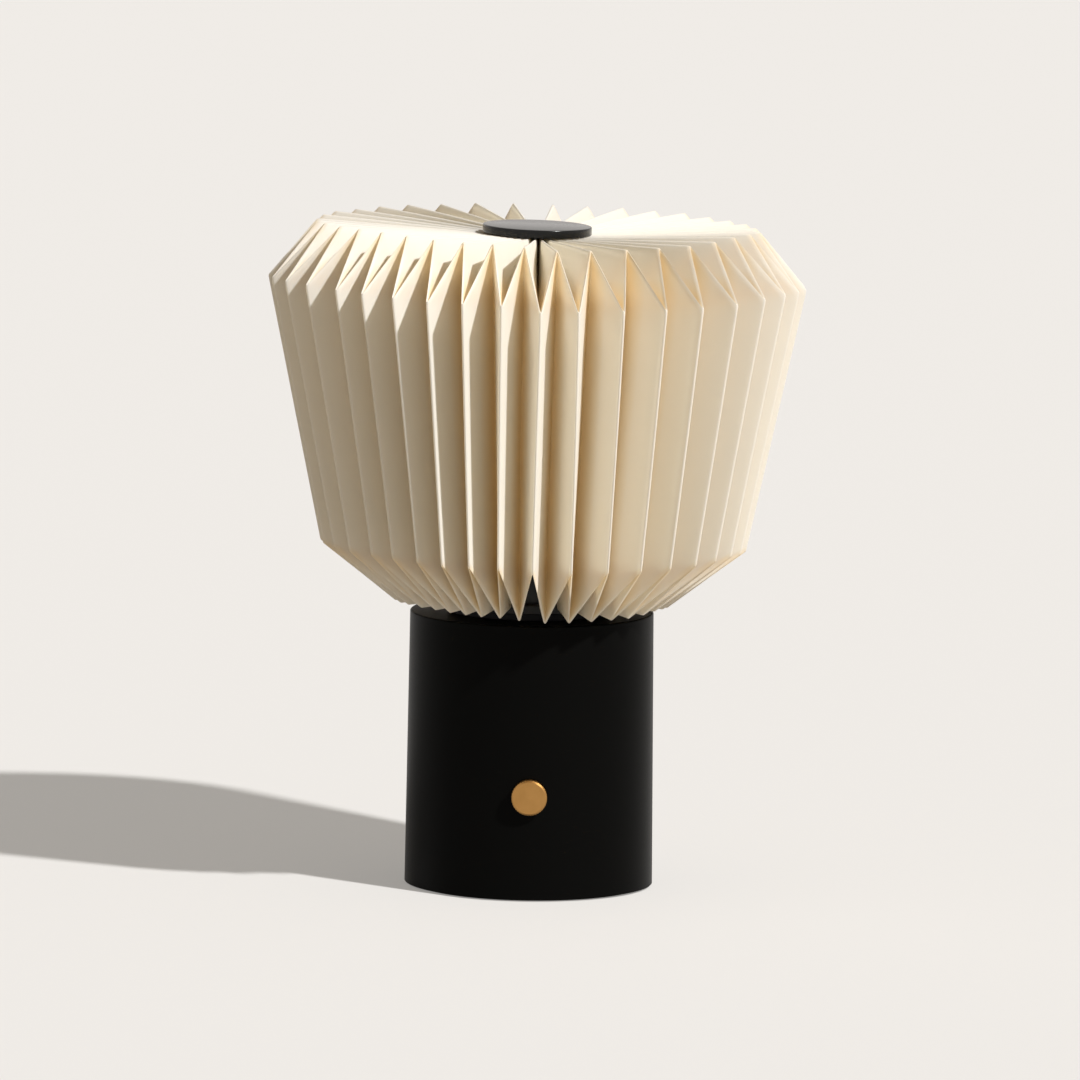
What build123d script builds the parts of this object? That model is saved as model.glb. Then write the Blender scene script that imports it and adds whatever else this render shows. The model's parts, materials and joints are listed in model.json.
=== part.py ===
"""A pleated paper table lamp on a round weighted base.

Millimetres, +Z up, front of the lamp towards -Y. The origin is on the table, in the middle
of the base. The shade is a ring of four folded paper sheets, glued end to end and glued to
a hub that drops over the stem.
"""
from build123d import *
from math import cos, radians, sin
import os

os.makedirs("parts", exist_ok=True)

# ---- driving sizes of the base ----------------------------------------------
base_r = 50.8            # base at its foot
base_draft = 1.0         # how much slimmer the base is at its deck
base_top = 112.6         # top of the deck
base_wall = 1.8
base_edge = 0.7          # rounding of the deck's rim
deck = 2.4
foot_rise = 0.8          # the metal of the base stands this far off the table
plate_t = 2.0
ballast_h = 10.0
cell_r = 9.2
cell_h = 65.0

# ---- driving sizes of the dimmer --------------------------------------------
knob_r = 7.2
knob_z = 43.0            # height of the dimmer's axis
knob_proud = 4.0         # how far the knob stands out of the base
knob_len = 8.6
knob_face = 3.0          # thickness of the knob in front of its bore
knob_edge = 0.7
press = 0.8              # stroke of the knob
shaft_r = 3.0

# ---- driving sizes of the stem and light ------------------------------------
stem_r = 4.0
stem_bore = 2.8
spreader_t = 3.0
dome_r = 29.0
dome_foot_w = 1.8        # the diffuser's flange stands out this far
dome_side = 12.0         # straight side of the diffuser above its flange
dome_h = 20.0
dome_wall = 1.8
ring_w = 3.6             # width of the ring that holds the diffuser

# ---- driving sizes of the shade ---------------------------------------------
pleats = 38
paper = 0.4
ribbon = 25.0            # width of the folded strip, fold to fold
hem_gap = 2.2            # lowest fold of the shade above the deck
hem_r = 56.1
neck_gap = 1.6           # neck of the shade round the ring that holds the diffuser
neck_h = 3.2             # lower fold of the neck above the hem
waist_r = 86.8
under_h = 24.6           # outer fold where the side turns under, above the hem
side_h = 108.7           # from the waist up to the shoulder
shoulder_r = 110.2       # outer fold where the top turns into the side
crown_r = 90.8
crown_h = 22.5           # upper fold of that turn above the shoulder
hub_drop = 4.4           # the top dishes by this much from the crown to the hub
sleeve_r = 10.0          # sleeve of the hub
flange_r = 15.0
flange_t = 1.6
cap_r = 22.25
cap_t = 3.5

# ---- clearances -------------------------------------------------------------
running = 0.05           # radial, shaft in bore
push = 0.1               # radial, hole over a shaft that doesn't turn
loose = 0.3              # radial, loose
seat = 0.05              # between faces that rest on each other and move
glue = 0.2               # glue between the paper and the hub's sleeve
glue_low = 0.1           # glue between the paper and the hub's flange
cap_gap = 0.54           # cap over the paper

# ---- the folded strip -------------------------------------------------------
step = 180 / pleats      # turn from one fold to the next, degrees
half = paper / 2


def strip_rise(radius):
    """Height between the two folds of the strip where both stand at one radius."""
    chord = 2 * radius * sin(radians(step / 2))
    return (ribbon**2 - chord**2) ** 0.5


# ---- worked out -------------------------------------------------------------
slope = base_draft / (base_top - foot_rise)
deck_low = base_top - deck
plate_top = foot_rise + plate_t
ballast_top = plate_top + ballast_h
spreader_top = base_top + spreader_t
spreader_r = dome_r + dome_foot_w + ring_w

hem = Vector(hem_r, base_top + hem_gap)
waist = Vector(waist_r, hem.Y + under_h)
shoulder = Vector(shoulder_r, waist.Y + side_h)
crown = Vector(crown_r, shoulder.Y + crown_h)
hub_r = sleeve_r + glue
hub_high = Vector(hub_r, crown.Y - hub_drop)
hub_low = Vector(hub_r, hub_high.Y - strip_rise(hub_r))
neck_r = spreader_r + neck_gap
neck_low = Vector(neck_r, hem.Y + neck_h)
neck_high = Vector(neck_r, neck_low.Y + strip_rise(neck_r))

flange_top = hub_low.Y - glue_low
hub_under = flange_top - flange_t
top_slope = hub_drop / (crown_r - hub_r)
cap_under = hub_high.Y + top_slope * (cap_r - hub_r) + cap_gap
cap_top = cap_under + cap_t
hub_in_cap = 0.5         # the hub reaches this far into the cap
hub_top = cap_under + hub_in_cap
stem_short = 1.0         # the stem ends this far below the hub's top
stem_top = hub_top - stem_short


def outer_r(z):
    """Outside radius of the base at a height."""
    return base_r - slope * (z - foot_rise)


def inner_r(z):
    """Inside radius of the base at a height."""
    return outer_r(z) - base_wall


def polar(radius, start, count=3):
    """Places on a circle, as (x, y)."""
    turns = [radians(start + 360 * i / count) for i in range(count)]
    return [(radius * cos(a), radius * sin(a)) for a in turns]


def ring(r_out, r_in, low, high, mode=Mode.ADD):
    """A plain ring or disc between two heights."""
    with BuildSketch(Plane.XY.offset(low)) as face:
        Circle(r_out)
        if r_in:
            Circle(r_in, mode=Mode.SUBTRACT)
    extrude(face.sketch, amount=high - low, mode=mode)


def turned(*points):
    """A solid turned about the Z axis from points of radius and height."""
    with BuildSketch(Plane.XZ) as face:
        with BuildLine():
            Polyline(*points, close=True)
        make_face()
    revolve(face.sketch, axis=Axis.Z)


def pins(places, radius, low, high, mode=Mode.ADD):
    """Round pins or holes along Z between two heights."""
    with BuildSketch(Plane.XY.offset(low)) as face:
        with Locations(*places):
            Circle(radius)
    extrude(face.sketch, amount=high - low, mode=mode)


def bores(places, radius, low, high):
    """Round holes along Z through what lies between two heights."""
    pins(places, radius, low, high, mode=Mode.SUBTRACT)


slot_l = 1.3             # a screw's slot, as shares of its head's radius and height
slot_w = 0.3
slot_deep = 0.8


def screws(places, head_r, head_low, head_high, shank_r, tip):
    """Slotted screws along Z, with their heads between two heights and their tips at a third."""
    up = tip > head_high
    outside = head_low if up else head_high
    pins(places, head_r, head_low, head_high)
    if up:
        pins(places, shank_r, head_high, tip)
    else:
        pins(places, shank_r, tip, head_low)
    with Locations(*[(x, y, outside) for x, y in places]):
        Box(
            head_r * slot_l,
            head_r * slot_w,
            (head_high - head_low) * slot_deep,
            mode=Mode.SUBTRACT,
        )


def front_disc(radius, y_out, y_in, x=0.0, z=knob_z, mode=Mode.ADD):
    """A disc or bore along Y between two depths."""
    with BuildSketch(Plane.XZ.offset(-y_out)) as face:
        with Locations((x, z)):
            Circle(radius)
    extrude(face.sketch, amount=y_out - y_in, mode=mode)


def rounded(width, height, corner, y_back, y_front, z, mode=Mode.ADD):
    """A block along Y with rounded corners, centred on the YZ plane."""
    with BuildSketch(Plane.XZ.offset(-y_back)) as face:
        with Locations((0, z)):
            RectangleRounded(width, height, corner)
    extrude(face.sketch, amount=y_back - y_front, mode=mode)


def block(x_size, y_low, y_high, z_low, z_high, x=0.0):
    """A box given by its width in X and its ends in Y and Z."""
    with Locations((x, (y_low + y_high) / 2, (z_low + z_high) / 2)):
        Box(x_size, y_high - y_low, z_high - z_low)


def lead(radius, bend, *points):
    """A round lead along straight runs joined by arcs."""
    with BuildLine() as route:
        FilletPolyline(*points, radius=bend)
    with BuildSketch(Plane(origin=route.line @ 0, z_dir=route.line % 0)) as face:
        Circle(radius)
    sweep(face.sketch, path=route.line)


def save(part, label):
    """Name a piece and write its file."""
    part.label = label
    export_step(part, f"parts/{label}.step")


# ---- screws, by size --------------------------------------------------------
m2 = 1.0
m2_head = 1.8
m2_head_h = 1.1
m3 = 1.5
m3_head = 2.8
m3_head_h = 1.8
m4 = 2.0
m4_head = 3.6
head_in = 0.1            # heads under the base lie this far inside their recess
recess = plate_t / 2     # depth of that recess

# ---- heights and places inside the base -------------------------------------
lug_reach = 7.0          # the bottom plate's screws stand this far in from the wall
lug_r = base_r - base_wall - lug_reach
lug_h = 4.5
lug_in = 3.4             # the lug reaches this far inside its screw
lug_w = 11.6
lug_places = polar(lug_r, 90)
ballast_r = lug_r - lug_in - 2 * loose
post_r = 28.0            # where the chassis screws go
post_places = polar(post_r, 30)
chassis_t = 3.0
chassis_top = ballast_top + chassis_t
standoff = 5.0
board_low = chassis_top + standoff
board_t = 1.6
board_top = board_low + board_t
socket_w = 9.0
socket_h = 3.2
socket_round = 1.3
port_z = board_top + socket_h / 2
port_w = 12.6
port_h = 6.4
port_round = 2.5
light_x = 14.0
light_r = 1.2
light_z = board_top + light_r + loose
lead_y = 14.0            # where the light's lead goes through the deck
lead_r = 1.4
grommet_wall = 1.1
lead_hole = lead_r + loose + grommet_wall
past = 2.0               # cutters start this far outside the base
cut_deep = 10.0          # and reach this far in

# ---- base shell -------------------------------------------------------------
with BuildPart() as base_shell:
    turned(
        (stem_r + push, base_top),
        (base_r - base_draft, base_top),
        (base_r, foot_rise),
        (base_r - base_wall, foot_rise),
        (inner_r(deck_low), deck_low),
        (stem_r + push, deck_low),
    )
    rims = base_shell.edges().filter_by(GeomType.CIRCLE).group_by(Axis.Z)[-1]
    fillet(rims.sort_by(SortBy.RADIUS)[-1], radius=base_edge)
    with BuildSketch(Plane.XY.offset(plate_top)):
        with PolarLocations(lug_r + lug_in, 3, start_angle=90):
            Rectangle(4 * lug_in, lug_w)
        Circle(inner_r(plate_top) + base_wall / 2, mode=Mode.INTERSECT)
        Circle(lug_r - lug_in, mode=Mode.SUBTRACT)
    extrude(amount=lug_h)
    bores(lug_places, m3 + running, plate_top, plate_top + lug_h)
    front_disc(knob_r + loose, -base_r - past, -base_r + cut_deep, mode=Mode.SUBTRACT)
    front_disc(
        light_r + running, base_r + past, base_r - cut_deep, light_x, light_z, mode=Mode.SUBTRACT
    )
    rounded(
        port_w, port_h, port_round, base_r + past, base_r - cut_deep, port_z, mode=Mode.SUBTRACT
    )
    bores([(0, lead_y)], lead_hole, deck_low, base_top)
save(base_shell.part, "base_shell")

# ---- bottom of the base -----------------------------------------------------
foot_inset = 1.0         # rubber foot inside the wall of the base
foot_w = 2.6
foot_out = base_r - base_wall - foot_inset
foot_in = foot_out - foot_w
foot_sink = 0.6
foot_edge = 0.3

with BuildPart() as bottom_plate:
    ring(base_r - base_wall - loose, 0, foot_rise, plate_top)
    ring(foot_out, foot_in, foot_rise, foot_rise + foot_sink, mode=Mode.SUBTRACT)
    bores(lug_places, m3 + running, foot_rise, plate_top)
    bores(lug_places, m3_head + running, foot_rise, foot_rise + recess)
    bores(post_places, m4 + running, foot_rise, plate_top)
    bores(post_places, m4_head + running, foot_rise, foot_rise + recess)
save(bottom_plate.part, "bottom_plate")

with BuildPart() as foot_ring:
    ring(foot_out, foot_in, 0, foot_rise + foot_sink)
    chamfer(foot_ring.edges().group_by(Axis.Z)[0], length=foot_edge)
save(foot_ring.part, "foot_ring")

with BuildPart() as plate_screws:
    screws(
        lug_places, m3_head, foot_rise + head_in, foot_rise + recess, m3, plate_top + lug_h
    )
save(plate_screws.part, "plate_screws")

ballast_edge = 0.8
with BuildPart() as ballast:
    ring(ballast_r, 0, plate_top, ballast_top)
    bores(post_places, m4 + running, plate_top, ballast_top)
    outline = ballast.edges().filter_by(GeomType.CIRCLE).sort_by(SortBy.RADIUS)
    chamfer(outline[-2:], length=ballast_edge)
save(ballast.part, "ballast")

# ---- control board: its place sets the places of the cells ------------------
board_w = 32.0
board_l = 31.0
board_gap = 2.0          # corners of the board inside the wall of the base
board_back = ((inner_r(board_top) - board_gap) ** 2 - (board_w / 2) ** 2) ** 0.5
board_front = board_back - board_l
hole_in = 3.0            # board holes sit this far in from its front and sides
hole_back = 7.8          # and this far in from its back
board_holes = [
    (side * (board_w / 2 - hole_in), y)
    for side in (-1, 1)
    for y in (board_front + hole_in, board_back - hole_back)
]

# ---- chassis: carries the cells, the board and the dimmer -------------------
chassis_lip = 2.0        # the chassis reaches this far past the ballast
post_h = 8.0
post_wall = 2.4
pillar_wall = 1.5
cup_wall = 1.6
cup_h = 12.0
cell_shift = 2.27        # cells behind the middle of the room between dimmer and board
cup_r = cell_r + running + cup_wall
cell_pitch = cell_r + running + cup_r
cell_low = chassis_top + seat
cell_high = cell_low + cell_h
bushing_wall = 0.5
bushing_r = shaft_r + bushing_wall
body_w = 12.4
body_h = 13.2
body_depth = 7.5
mount_in = 15.6          # from the wall of the base to the back of the dimmer's mount
mount_y = mount_in - inner_r(knob_z)
mount_t = 3.0
mount_w = 24.0
mount_over = 2.0         # the mount stands this far above the dimmer
gusset_t = 1.5
mount_top = knob_z + body_h / 2 + mount_over
cell_y = (board_front + mount_y + body_depth) / 2 + cell_shift
cell_places = [(i * cell_pitch, cell_y) for i in (-1, 0, 1)]

with BuildPart() as chassis:
    ring(ballast_r + chassis_lip, 0, ballast_top, chassis_top)
    pins(post_places, m4 + post_wall, chassis_top, chassis_top + post_h)
    pins(cell_places, cup_r, chassis_top, chassis_top + cup_h)
    pins(board_holes, m3 + pillar_wall, chassis_top, board_low)
    block(mount_w, mount_y - mount_t, mount_y, chassis_top, mount_top)
    for side in (-1, 1):
        with BuildSketch(Plane.YZ.offset(side * (mount_w - gusset_t) / 2)) as gusset:
            with BuildLine():
                Polyline(
                    (mount_y, chassis_top),
                    (mount_y, knob_z - body_h / 2),
                    (mount_y + body_h, chassis_top),
                    close=True,
                )
            make_face()
        extrude(gusset.sketch, amount=gusset_t / 2, both=True)
    bores(cell_places, cell_r + running, chassis_top, chassis_top + cup_h)
    bores(post_places, m4 + running, ballast_top, chassis_top + post_h)
    bores(board_holes, m3 + running, chassis_top, board_low)
    front_disc(bushing_r + running, mount_y - mount_t, mount_y, mode=Mode.SUBTRACT)
save(chassis.part, "chassis")

with BuildPart() as chassis_screws:
    screws(
        post_places, m4_head, foot_rise + head_in, foot_rise + recess, m4, chassis_top + post_h
    )
save(chassis_screws.part, "chassis_screws")

cell_button_h = 1.0      # the raised end of a cell
cell_button_in = 0.4
for number, place in enumerate(cell_places, start=1):
    with BuildPart() as cell:
        pins([place], cell_r, cell_low, cell_high - cell_button_h)
        pins([place], cell_r - cell_button_in, cell_high - cell_button_h, cell_high)
    save(cell.part, f"battery_cell_{number}")

clamp_h = 4.0
clamp_low = cell_high - clamp_h / 2
with BuildPart() as cell_clamp:
    with BuildSketch(Plane.XY.offset(clamp_low)):
        with Locations((0, cell_y)):
            SlotCenterToCenter(2 * cell_pitch, 2 * cup_r)
    extrude(amount=clamp_h)
    bores(cell_places, cell_r + running, clamp_low, cell_high)
save(cell_clamp.part, "cell_clamp")

# ---- control board and charging socket --------------------------------------
screw_reach = 4.0        # the board's screws go this far into their pillars
with BuildPart() as control_board:
    block(board_w, board_front, board_back, board_low, board_top)
    bores(board_holes, m3 + running, board_low, board_top)
save(control_board.part, "control_board")

with BuildPart() as board_screws:
    screws(
        board_holes, m3_head, board_top, board_top + m3_head_h, m3, board_low - screw_reach
    )
save(board_screws.part, "board_screws")

plug_in = 18.0           # plugs of the leads in from the board's back
plug_y = board_back - plug_in
plug_pitch = 9.0
plug_w = 8.0
plug_l = 5.0
plug_h = 5.0
plug_top = board_top + plug_h
with BuildPart() as board_plugs:
    for i in (-1, 0, 1):
        block(plug_w, plug_y - plug_l / 2, plug_y + plug_l / 2, board_top, plug_top, i * plug_pitch)
save(board_plugs.part, "board_plugs")

chip_in = 4.0            # chip in from the board's front
chip_w = 6.0
chip_l = 5.0
chip_h = 1.2
with BuildPart() as driver_chip:
    chip_y = board_front + chip_in
    block(chip_w, chip_y, chip_y + chip_l, board_top, board_top + chip_h)
save(driver_chip.part, "driver_chip")

socket_in = 0.6          # mouth of the socket inside the wall of the base
socket_y = inner_r(port_z) - socket_in
socket_depth = 7.3
socket_back = socket_y - socket_depth
shell_t = 0.35
back_t = 1.0
tongue_t = 0.7
tongue_w = 6.6
tongue_in = 1.0
with BuildPart() as usb_socket:
    rounded(socket_w, socket_h, socket_round, socket_y, socket_back, port_z)
    rounded(
        socket_w - 2 * shell_t,
        socket_h - 2 * shell_t,
        socket_round - shell_t,
        socket_y,
        socket_back + back_t,
        port_z,
        mode=Mode.SUBTRACT,
    )
    tongue_low = port_z - tongue_t / 2
    block(tongue_w, socket_back + back_t, socket_y - tongue_in, tongue_low, tongue_low + tongue_t)
save(usb_socket.part, "usb_socket")

bezel_lip = 0.8          # the bezel stands this far out of the base
bezel_gap = 0.2          # bezel round the socket's mouth
bezel_edge = 0.3
bezel_y = outer_r(port_z) + bezel_lip
with BuildPart() as usb_bezel:
    rounded(
        port_w - 2 * running, port_h - 2 * running, port_round - running, bezel_y, socket_y + push, port_z
    )
    rounded(
        socket_w + 2 * bezel_gap,
        socket_h + 2 * bezel_gap,
        socket_round + bezel_gap,
        bezel_y,
        socket_y + push,
        port_z,
        mode=Mode.SUBTRACT,
    )
    chamfer(usb_bezel.faces().sort_by(Axis.Y)[-1].outer_wire().edges(), length=bezel_edge)
save(usb_bezel.part, "usb_bezel")

pipe_over = 1.0          # the light pipe lies over the board's edge by this much
pipe_proud = 0.2
with BuildPart() as light_pipe:
    light_y = (outer_r(light_z) ** 2 - light_x**2) ** 0.5
    front_disc(light_r, light_y + pipe_proud, board_back - pipe_over, light_x, light_z)
    chamfer(light_pipe.faces().sort_by(Axis.Y)[-1].edges(), length=light_r / 4)
save(light_pipe.part, "light_pipe")

# ---- dimmer -----------------------------------------------------------------
rotor_w = 2.1            # rotor round its shaft
rotor_r = shaft_r + rotor_w
rotor_in = 1.2           # rotor behind the face of the dimmer's body
rotor_t = 3.6
shaft_over = 0.4         # shaft behind its rotor
shaft_room = 0.2         # room behind the shaft when it is pressed
nut_t = 2.2
nut_wall = 1.6
thread_over = 1.4        # bushing in front of its nut
rotor_front = mount_y + rotor_in
rotor_back = rotor_front + rotor_t
bushing_front = mount_y - mount_t - nut_t - thread_over
shaft_back = rotor_back + shaft_over
knob_front = -outer_r(knob_z) - knob_proud
knob_back = knob_front + knob_len
bore_end = knob_front + knob_face

with BuildPart() as dimmer_body:
    block(body_w, mount_y, mount_y + body_depth, knob_z - body_h / 2, knob_z + body_h / 2)
    front_disc(bushing_r, bushing_front, mount_y)
    pocket = shaft_back + press + shaft_room
    front_disc(shaft_r + running, bushing_front, pocket, mode=Mode.SUBTRACT)
    front_disc(rotor_r + running, rotor_front - seat, rotor_back + seat, mode=Mode.SUBTRACT)
save(dimmer_body.part, "dimmer_body")

with BuildPart() as dimmer_nut:
    with BuildSketch(Plane.XZ.offset(-mount_y + mount_t)):
        with Locations((0, knob_z)):
            RegularPolygon(bushing_r + nut_wall, 6, major_radius=False)
            Circle(bushing_r + running, mode=Mode.SUBTRACT)
    extrude(amount=nut_t)
save(dimmer_nut.part, "dimmer_nut")

with BuildPart() as dimmer_rotor:
    front_disc(rotor_r, rotor_front, rotor_back)
    front_disc(shaft_r + running, rotor_front, rotor_back, mode=Mode.SUBTRACT)
save(dimmer_rotor.part, "dimmer_rotor")

with BuildPart() as dimmer_shaft:
    front_disc(shaft_r, bore_end, shaft_back)
save(dimmer_shaft.part, "dimmer_shaft")

flutes = 40
flute_deep = 0.25
with BuildPart() as dimmer_knob:
    front_disc(knob_r, knob_front, knob_back)
    chamfer(dimmer_knob.faces().sort_by(Axis.Y)[0].edges(), length=knob_edge)
    with BuildSketch(Plane.XZ.offset(-knob_back)):
        with Locations((0, knob_z)):
            with PolarLocations(knob_r, flutes):
                RegularPolygon(flute_deep, 4)
    extrude(amount=knob_len, mode=Mode.SUBTRACT)
    front_disc(shaft_r, bore_end, knob_back, mode=Mode.SUBTRACT)
save(dimmer_knob.part, "dimmer_knob")

# ---- stem and its fixing ----------------------------------------------------
boss_w = 5.5             # boss of the stem, round its tube
boss_r = stem_r + boss_w
boss_h = 4.0
boss_edge = 1.0
washer_t = 1.5
stem_nut_t = 5.0
stem_nut_wall = 2.5
thread_past = 3.0
stem_nut_low = deck_low - washer_t - stem_nut_t
magnet_h = 4.0
hub_washer_h = 1.1
collar_top = hub_under - hub_washer_h
collar_h = 4.0
collar_w = 5.0
collar_r = stem_r + collar_w
collar_edge = 0.4
grub_in = 0.4            # the grub screw below the collar's face
grub_z = collar_top - collar_h / 2

with BuildPart() as stem:
    ring(stem_r, stem_bore, stem_nut_low - thread_past, stem_top)
    ring(boss_r, stem_bore, spreader_top, spreader_top + boss_h)
    boss_rims = stem.edges().filter_by(GeomType.CIRCLE).sort_by(SortBy.RADIUS)[-2:]
    chamfer(boss_rims.sort_by(Axis.Z)[-1], length=boss_edge)
save(stem.part, "stem")

with BuildPart() as stem_washer:
    ring(boss_r, stem_r + running, deck_low - washer_t, deck_low)
save(stem_washer.part, "stem_washer")

with BuildPart() as stem_nut:
    with BuildSketch(Plane.XY.offset(stem_nut_low)):
        RegularPolygon(stem_r + stem_nut_wall, 6, major_radius=False)
        Circle(stem_r + running, mode=Mode.SUBTRACT)
    extrude(amount=stem_nut_t)
save(stem_nut.part, "stem_nut")

with BuildPart() as stem_collar:
    ring(collar_r, stem_r + running, collar_top - collar_h, collar_top)
    collar_rims = stem_collar.edges().filter_by(GeomType.CIRCLE).sort_by(SortBy.RADIUS)
    chamfer(collar_rims[-2:], length=collar_edge)
    front_disc(m3 + running, -stem_r, -collar_r, 0, grub_z, mode=Mode.SUBTRACT)
save(stem_collar.part, "stem_collar")

with BuildPart() as collar_grub:
    front_disc(m3, -collar_r + grub_in, -stem_r - push, 0, grub_z)
save(collar_grub.part, "collar_grub")

with BuildPart() as stem_magnet:
    ring(stem_bore - running, 0, stem_top - magnet_h, stem_top)
save(stem_magnet.part, "stem_magnet")

# ---- light ------------------------------------------------------------------
led_gap = 1.6            # LED board inside the diffuser
led_board_r = dome_r - dome_wall - led_gap
led_board_in = boss_r + 4 * loose
led_board_t = 1.6
led_top = spreader_top + led_board_t
led_count = 12
led_ring_r = (led_board_r + led_board_in) / 2
led_size = 3.0
led_h = 0.7
head_edge = 0.1          # ring screws' heads inside the ring's rim
spreader_edge = 0.3
ring_screw_r = spreader_r - m2_head - head_edge
ring_screw_places = polar(ring_screw_r, 60)
screw_stop = 0.5         # the ring's screws end this far above the deck

with BuildPart() as heat_spreader:
    ring(spreader_r, stem_r + push, base_top, spreader_top)
    spreader_rims = heat_spreader.edges().filter_by(GeomType.CIRCLE).sort_by(SortBy.RADIUS)
    chamfer(spreader_rims[-2:], length=spreader_edge)
    bores([(0, lead_y)], lead_r + loose, base_top, spreader_top)
    bores(ring_screw_places, m2 + running, base_top, spreader_top)
save(heat_spreader.part, "heat_spreader")

with BuildPart() as led_board:
    ring(led_board_r, led_board_in, spreader_top, led_top)
save(led_board.part, "led_board")

with BuildPart() as led_chips:
    with BuildSketch(Plane.XY.offset(led_top)):
        with PolarLocations(led_ring_r, led_count):
            Rectangle(led_size, led_size)
    extrude(amount=led_h)
save(led_chips.part, "led_chips")

dome_flange = 1.5
dome_foot = dome_r + dome_foot_w
dome_turn = spreader_top + dome_flange + dome_side
dome_top = dome_turn + dome_h
dome_hole = stem_r + 2 * loose
dome_in = dome_r - dome_wall
with BuildPart() as diffuser:
    with BuildSketch(Plane.XZ):
        with BuildLine():
            Polyline(
                (dome_in, dome_turn),
                (dome_in, spreader_top),
                (dome_foot, spreader_top),
                (dome_foot, spreader_top + dome_flange),
                (dome_r, spreader_top + dome_flange),
                (dome_r, dome_turn),
            )
            TangentArc((dome_r, dome_turn), (dome_hole, dome_top), tangent=(0, 1))
            Line((dome_hole, dome_top), (dome_hole, dome_top - dome_wall))
            TangentArc((dome_in, dome_turn), (dome_hole, dome_top - dome_wall), tangent=(0, 1))
        make_face()
    revolve(axis=Axis.Z)
save(diffuser.part, "diffuser")

lip_t = 2.0              # the ring's lip over the diffuser's flange
lip_low = spreader_top + dome_flange
lip_top = lip_low + lip_t
lip_edge = 0.4
with BuildPart() as diffuser_ring:
    turned(
        (spreader_r, spreader_top),
        (spreader_r, lip_top),
        (dome_r + loose, lip_top),
        (dome_r + loose, lip_low + seat),
        (dome_foot + push, lip_low + seat),
        (dome_foot + push, spreader_top),
    )
    chamfer(diffuser_ring.edges().group_by(Axis.Z)[-1].sort_by(SortBy.RADIUS)[-1], length=lip_edge)
    bores(ring_screw_places, m2 + running, spreader_top, lip_top)
save(diffuser_ring.part, "diffuser_ring")

with BuildPart() as ring_screws:
    screws(
        ring_screw_places, m2_head, lip_top, lip_top + m2_head_h, m2, base_top + screw_stop
    )
save(ring_screws.part, "ring_screws")

# ---- leads inside the base --------------------------------------------------
grommet_lip = 1.0
with BuildPart() as lead_grommet:
    grommet_r = lead_hole - running
    pins([(0, lead_y)], grommet_r + grommet_lip, deck_low - grommet_lip, deck_low)
    pins([(0, lead_y)], grommet_r, deck_low, base_top)
    bores([(0, lead_y)], lead_r + running, deck_low - grommet_lip, base_top)
save(lead_grommet.part, "lead_grommet")

slack_high = 70.0        # the light's lead moves over between these heights
slack_low = 50.0
slack_bend = 8.0
with BuildPart() as light_lead:
    lead(
        lead_r,
        slack_bend,
        (0, lead_y, spreader_top),
        (0, lead_y, slack_high),
        (0, plug_y, slack_low),
        (0, plug_y, plug_top),
    )
save(light_lead.part, "light_lead")

drop_out = 8.0           # the cells' lead stands this far behind their clamp
drop_high = 52.0
drop_low = 42.0
drop_bend = 3.5
clamp_back = cell_y + cup_r
with BuildPart() as battery_lead:
    lead(
        lead_r,
        drop_bend,
        (-plug_pitch, clamp_back, cell_high),
        (-plug_pitch, clamp_back + drop_out, cell_high),
        (-plug_pitch, clamp_back + drop_out, drop_high),
        (-plug_pitch, plug_y, drop_low),
        (-plug_pitch, plug_y, plug_top),
    )
save(battery_lead.part, "battery_lead")

switch_r = 1.1
switch_z = knob_z - body_h / 4
switch_y = mount_y + body_depth
switch_out = 5.2
switch_bend = 4.5
round_x = 35.0           # the dimmer's lead goes round the cells here
round_y = 14.0
with BuildPart() as dimmer_lead:
    lead(
        switch_r,
        switch_bend,
        (0, switch_y, switch_z),
        (0, switch_y + switch_out, switch_z),
        (round_x, switch_y + switch_out, switch_z),
        (round_x, round_y, switch_z),
        (plug_pitch, plug_y, switch_z),
        (plug_pitch, plug_y, plug_top),
    )
save(dimmer_lead.part, "dimmer_lead")

# ---- hub of the shade and the washer under it -------------------------------
with BuildPart() as hub_washer:
    ring(collar_r, stem_r + running, collar_top + seat, hub_under - seat)
save(hub_washer.part, "hub_washer")

hub_play = 0.075         # radial, hub over the stem
land = 6.0               # bearing length at each end of the hub's bore
relief_wall = 2.5
relief_ramp = 3.0
hub_bore = stem_r + hub_play
with BuildPart() as shade_hub:
    turned(
        (hub_bore, hub_under),
        (flange_r, hub_under),
        (flange_r, flange_top),
        (sleeve_r, flange_top),
        (sleeve_r, hub_top),
        (hub_bore, hub_top),
        (hub_bore, hub_top - land),
        (sleeve_r - relief_wall, hub_top - land - relief_ramp),
        (sleeve_r - relief_wall, hub_under + land + relief_ramp),
        (hub_bore, hub_under + land),
    )
save(shade_hub.part, "shade_hub")

# ---- folded paper -----------------------------------------------------------
# The upper fold and the lower fold of the strip swap places at the shoulder and again at
# the waist. Low folds (shoulder, waist) lie on the even planes, high folds on the odd ones.
# The sheets meet at odd planes, where the fold points inwards on the side of the shade.
rise = Vector(0, 1)


def fold_shift(radius):
    """How far a sharp fold moves across the strip for half the paper's thickness."""
    return half * ribbon / (radius * sin(radians(step)))


def corner_shift(before, corner, after):
    """Move of a corner when the two lines that meet there both shift outwards."""
    first = (corner - before).normalized()
    second = (after - corner).normalized()
    sides = Vector(-first.Y, first.X) + Vector(-second.Y, second.X)
    spread = 1 + first.dot(second)
    return sides * (fold_shift(corner.X) / spread)


def on_plane(point, plane):
    """The place in space of a point of radius and height on a numbered fold plane."""
    turn = radians(step * plane)
    return Vector(point.X * cos(turn), point.X * sin(turn), point.Y)


def blunt(point, plane, side):
    """One edge of a blunt fold, half a sheet from its plane towards the next plane."""
    here = on_plane(point, plane)
    there = on_plane(point, plane + side)
    return here + (there - here).normalized() * half


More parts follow.
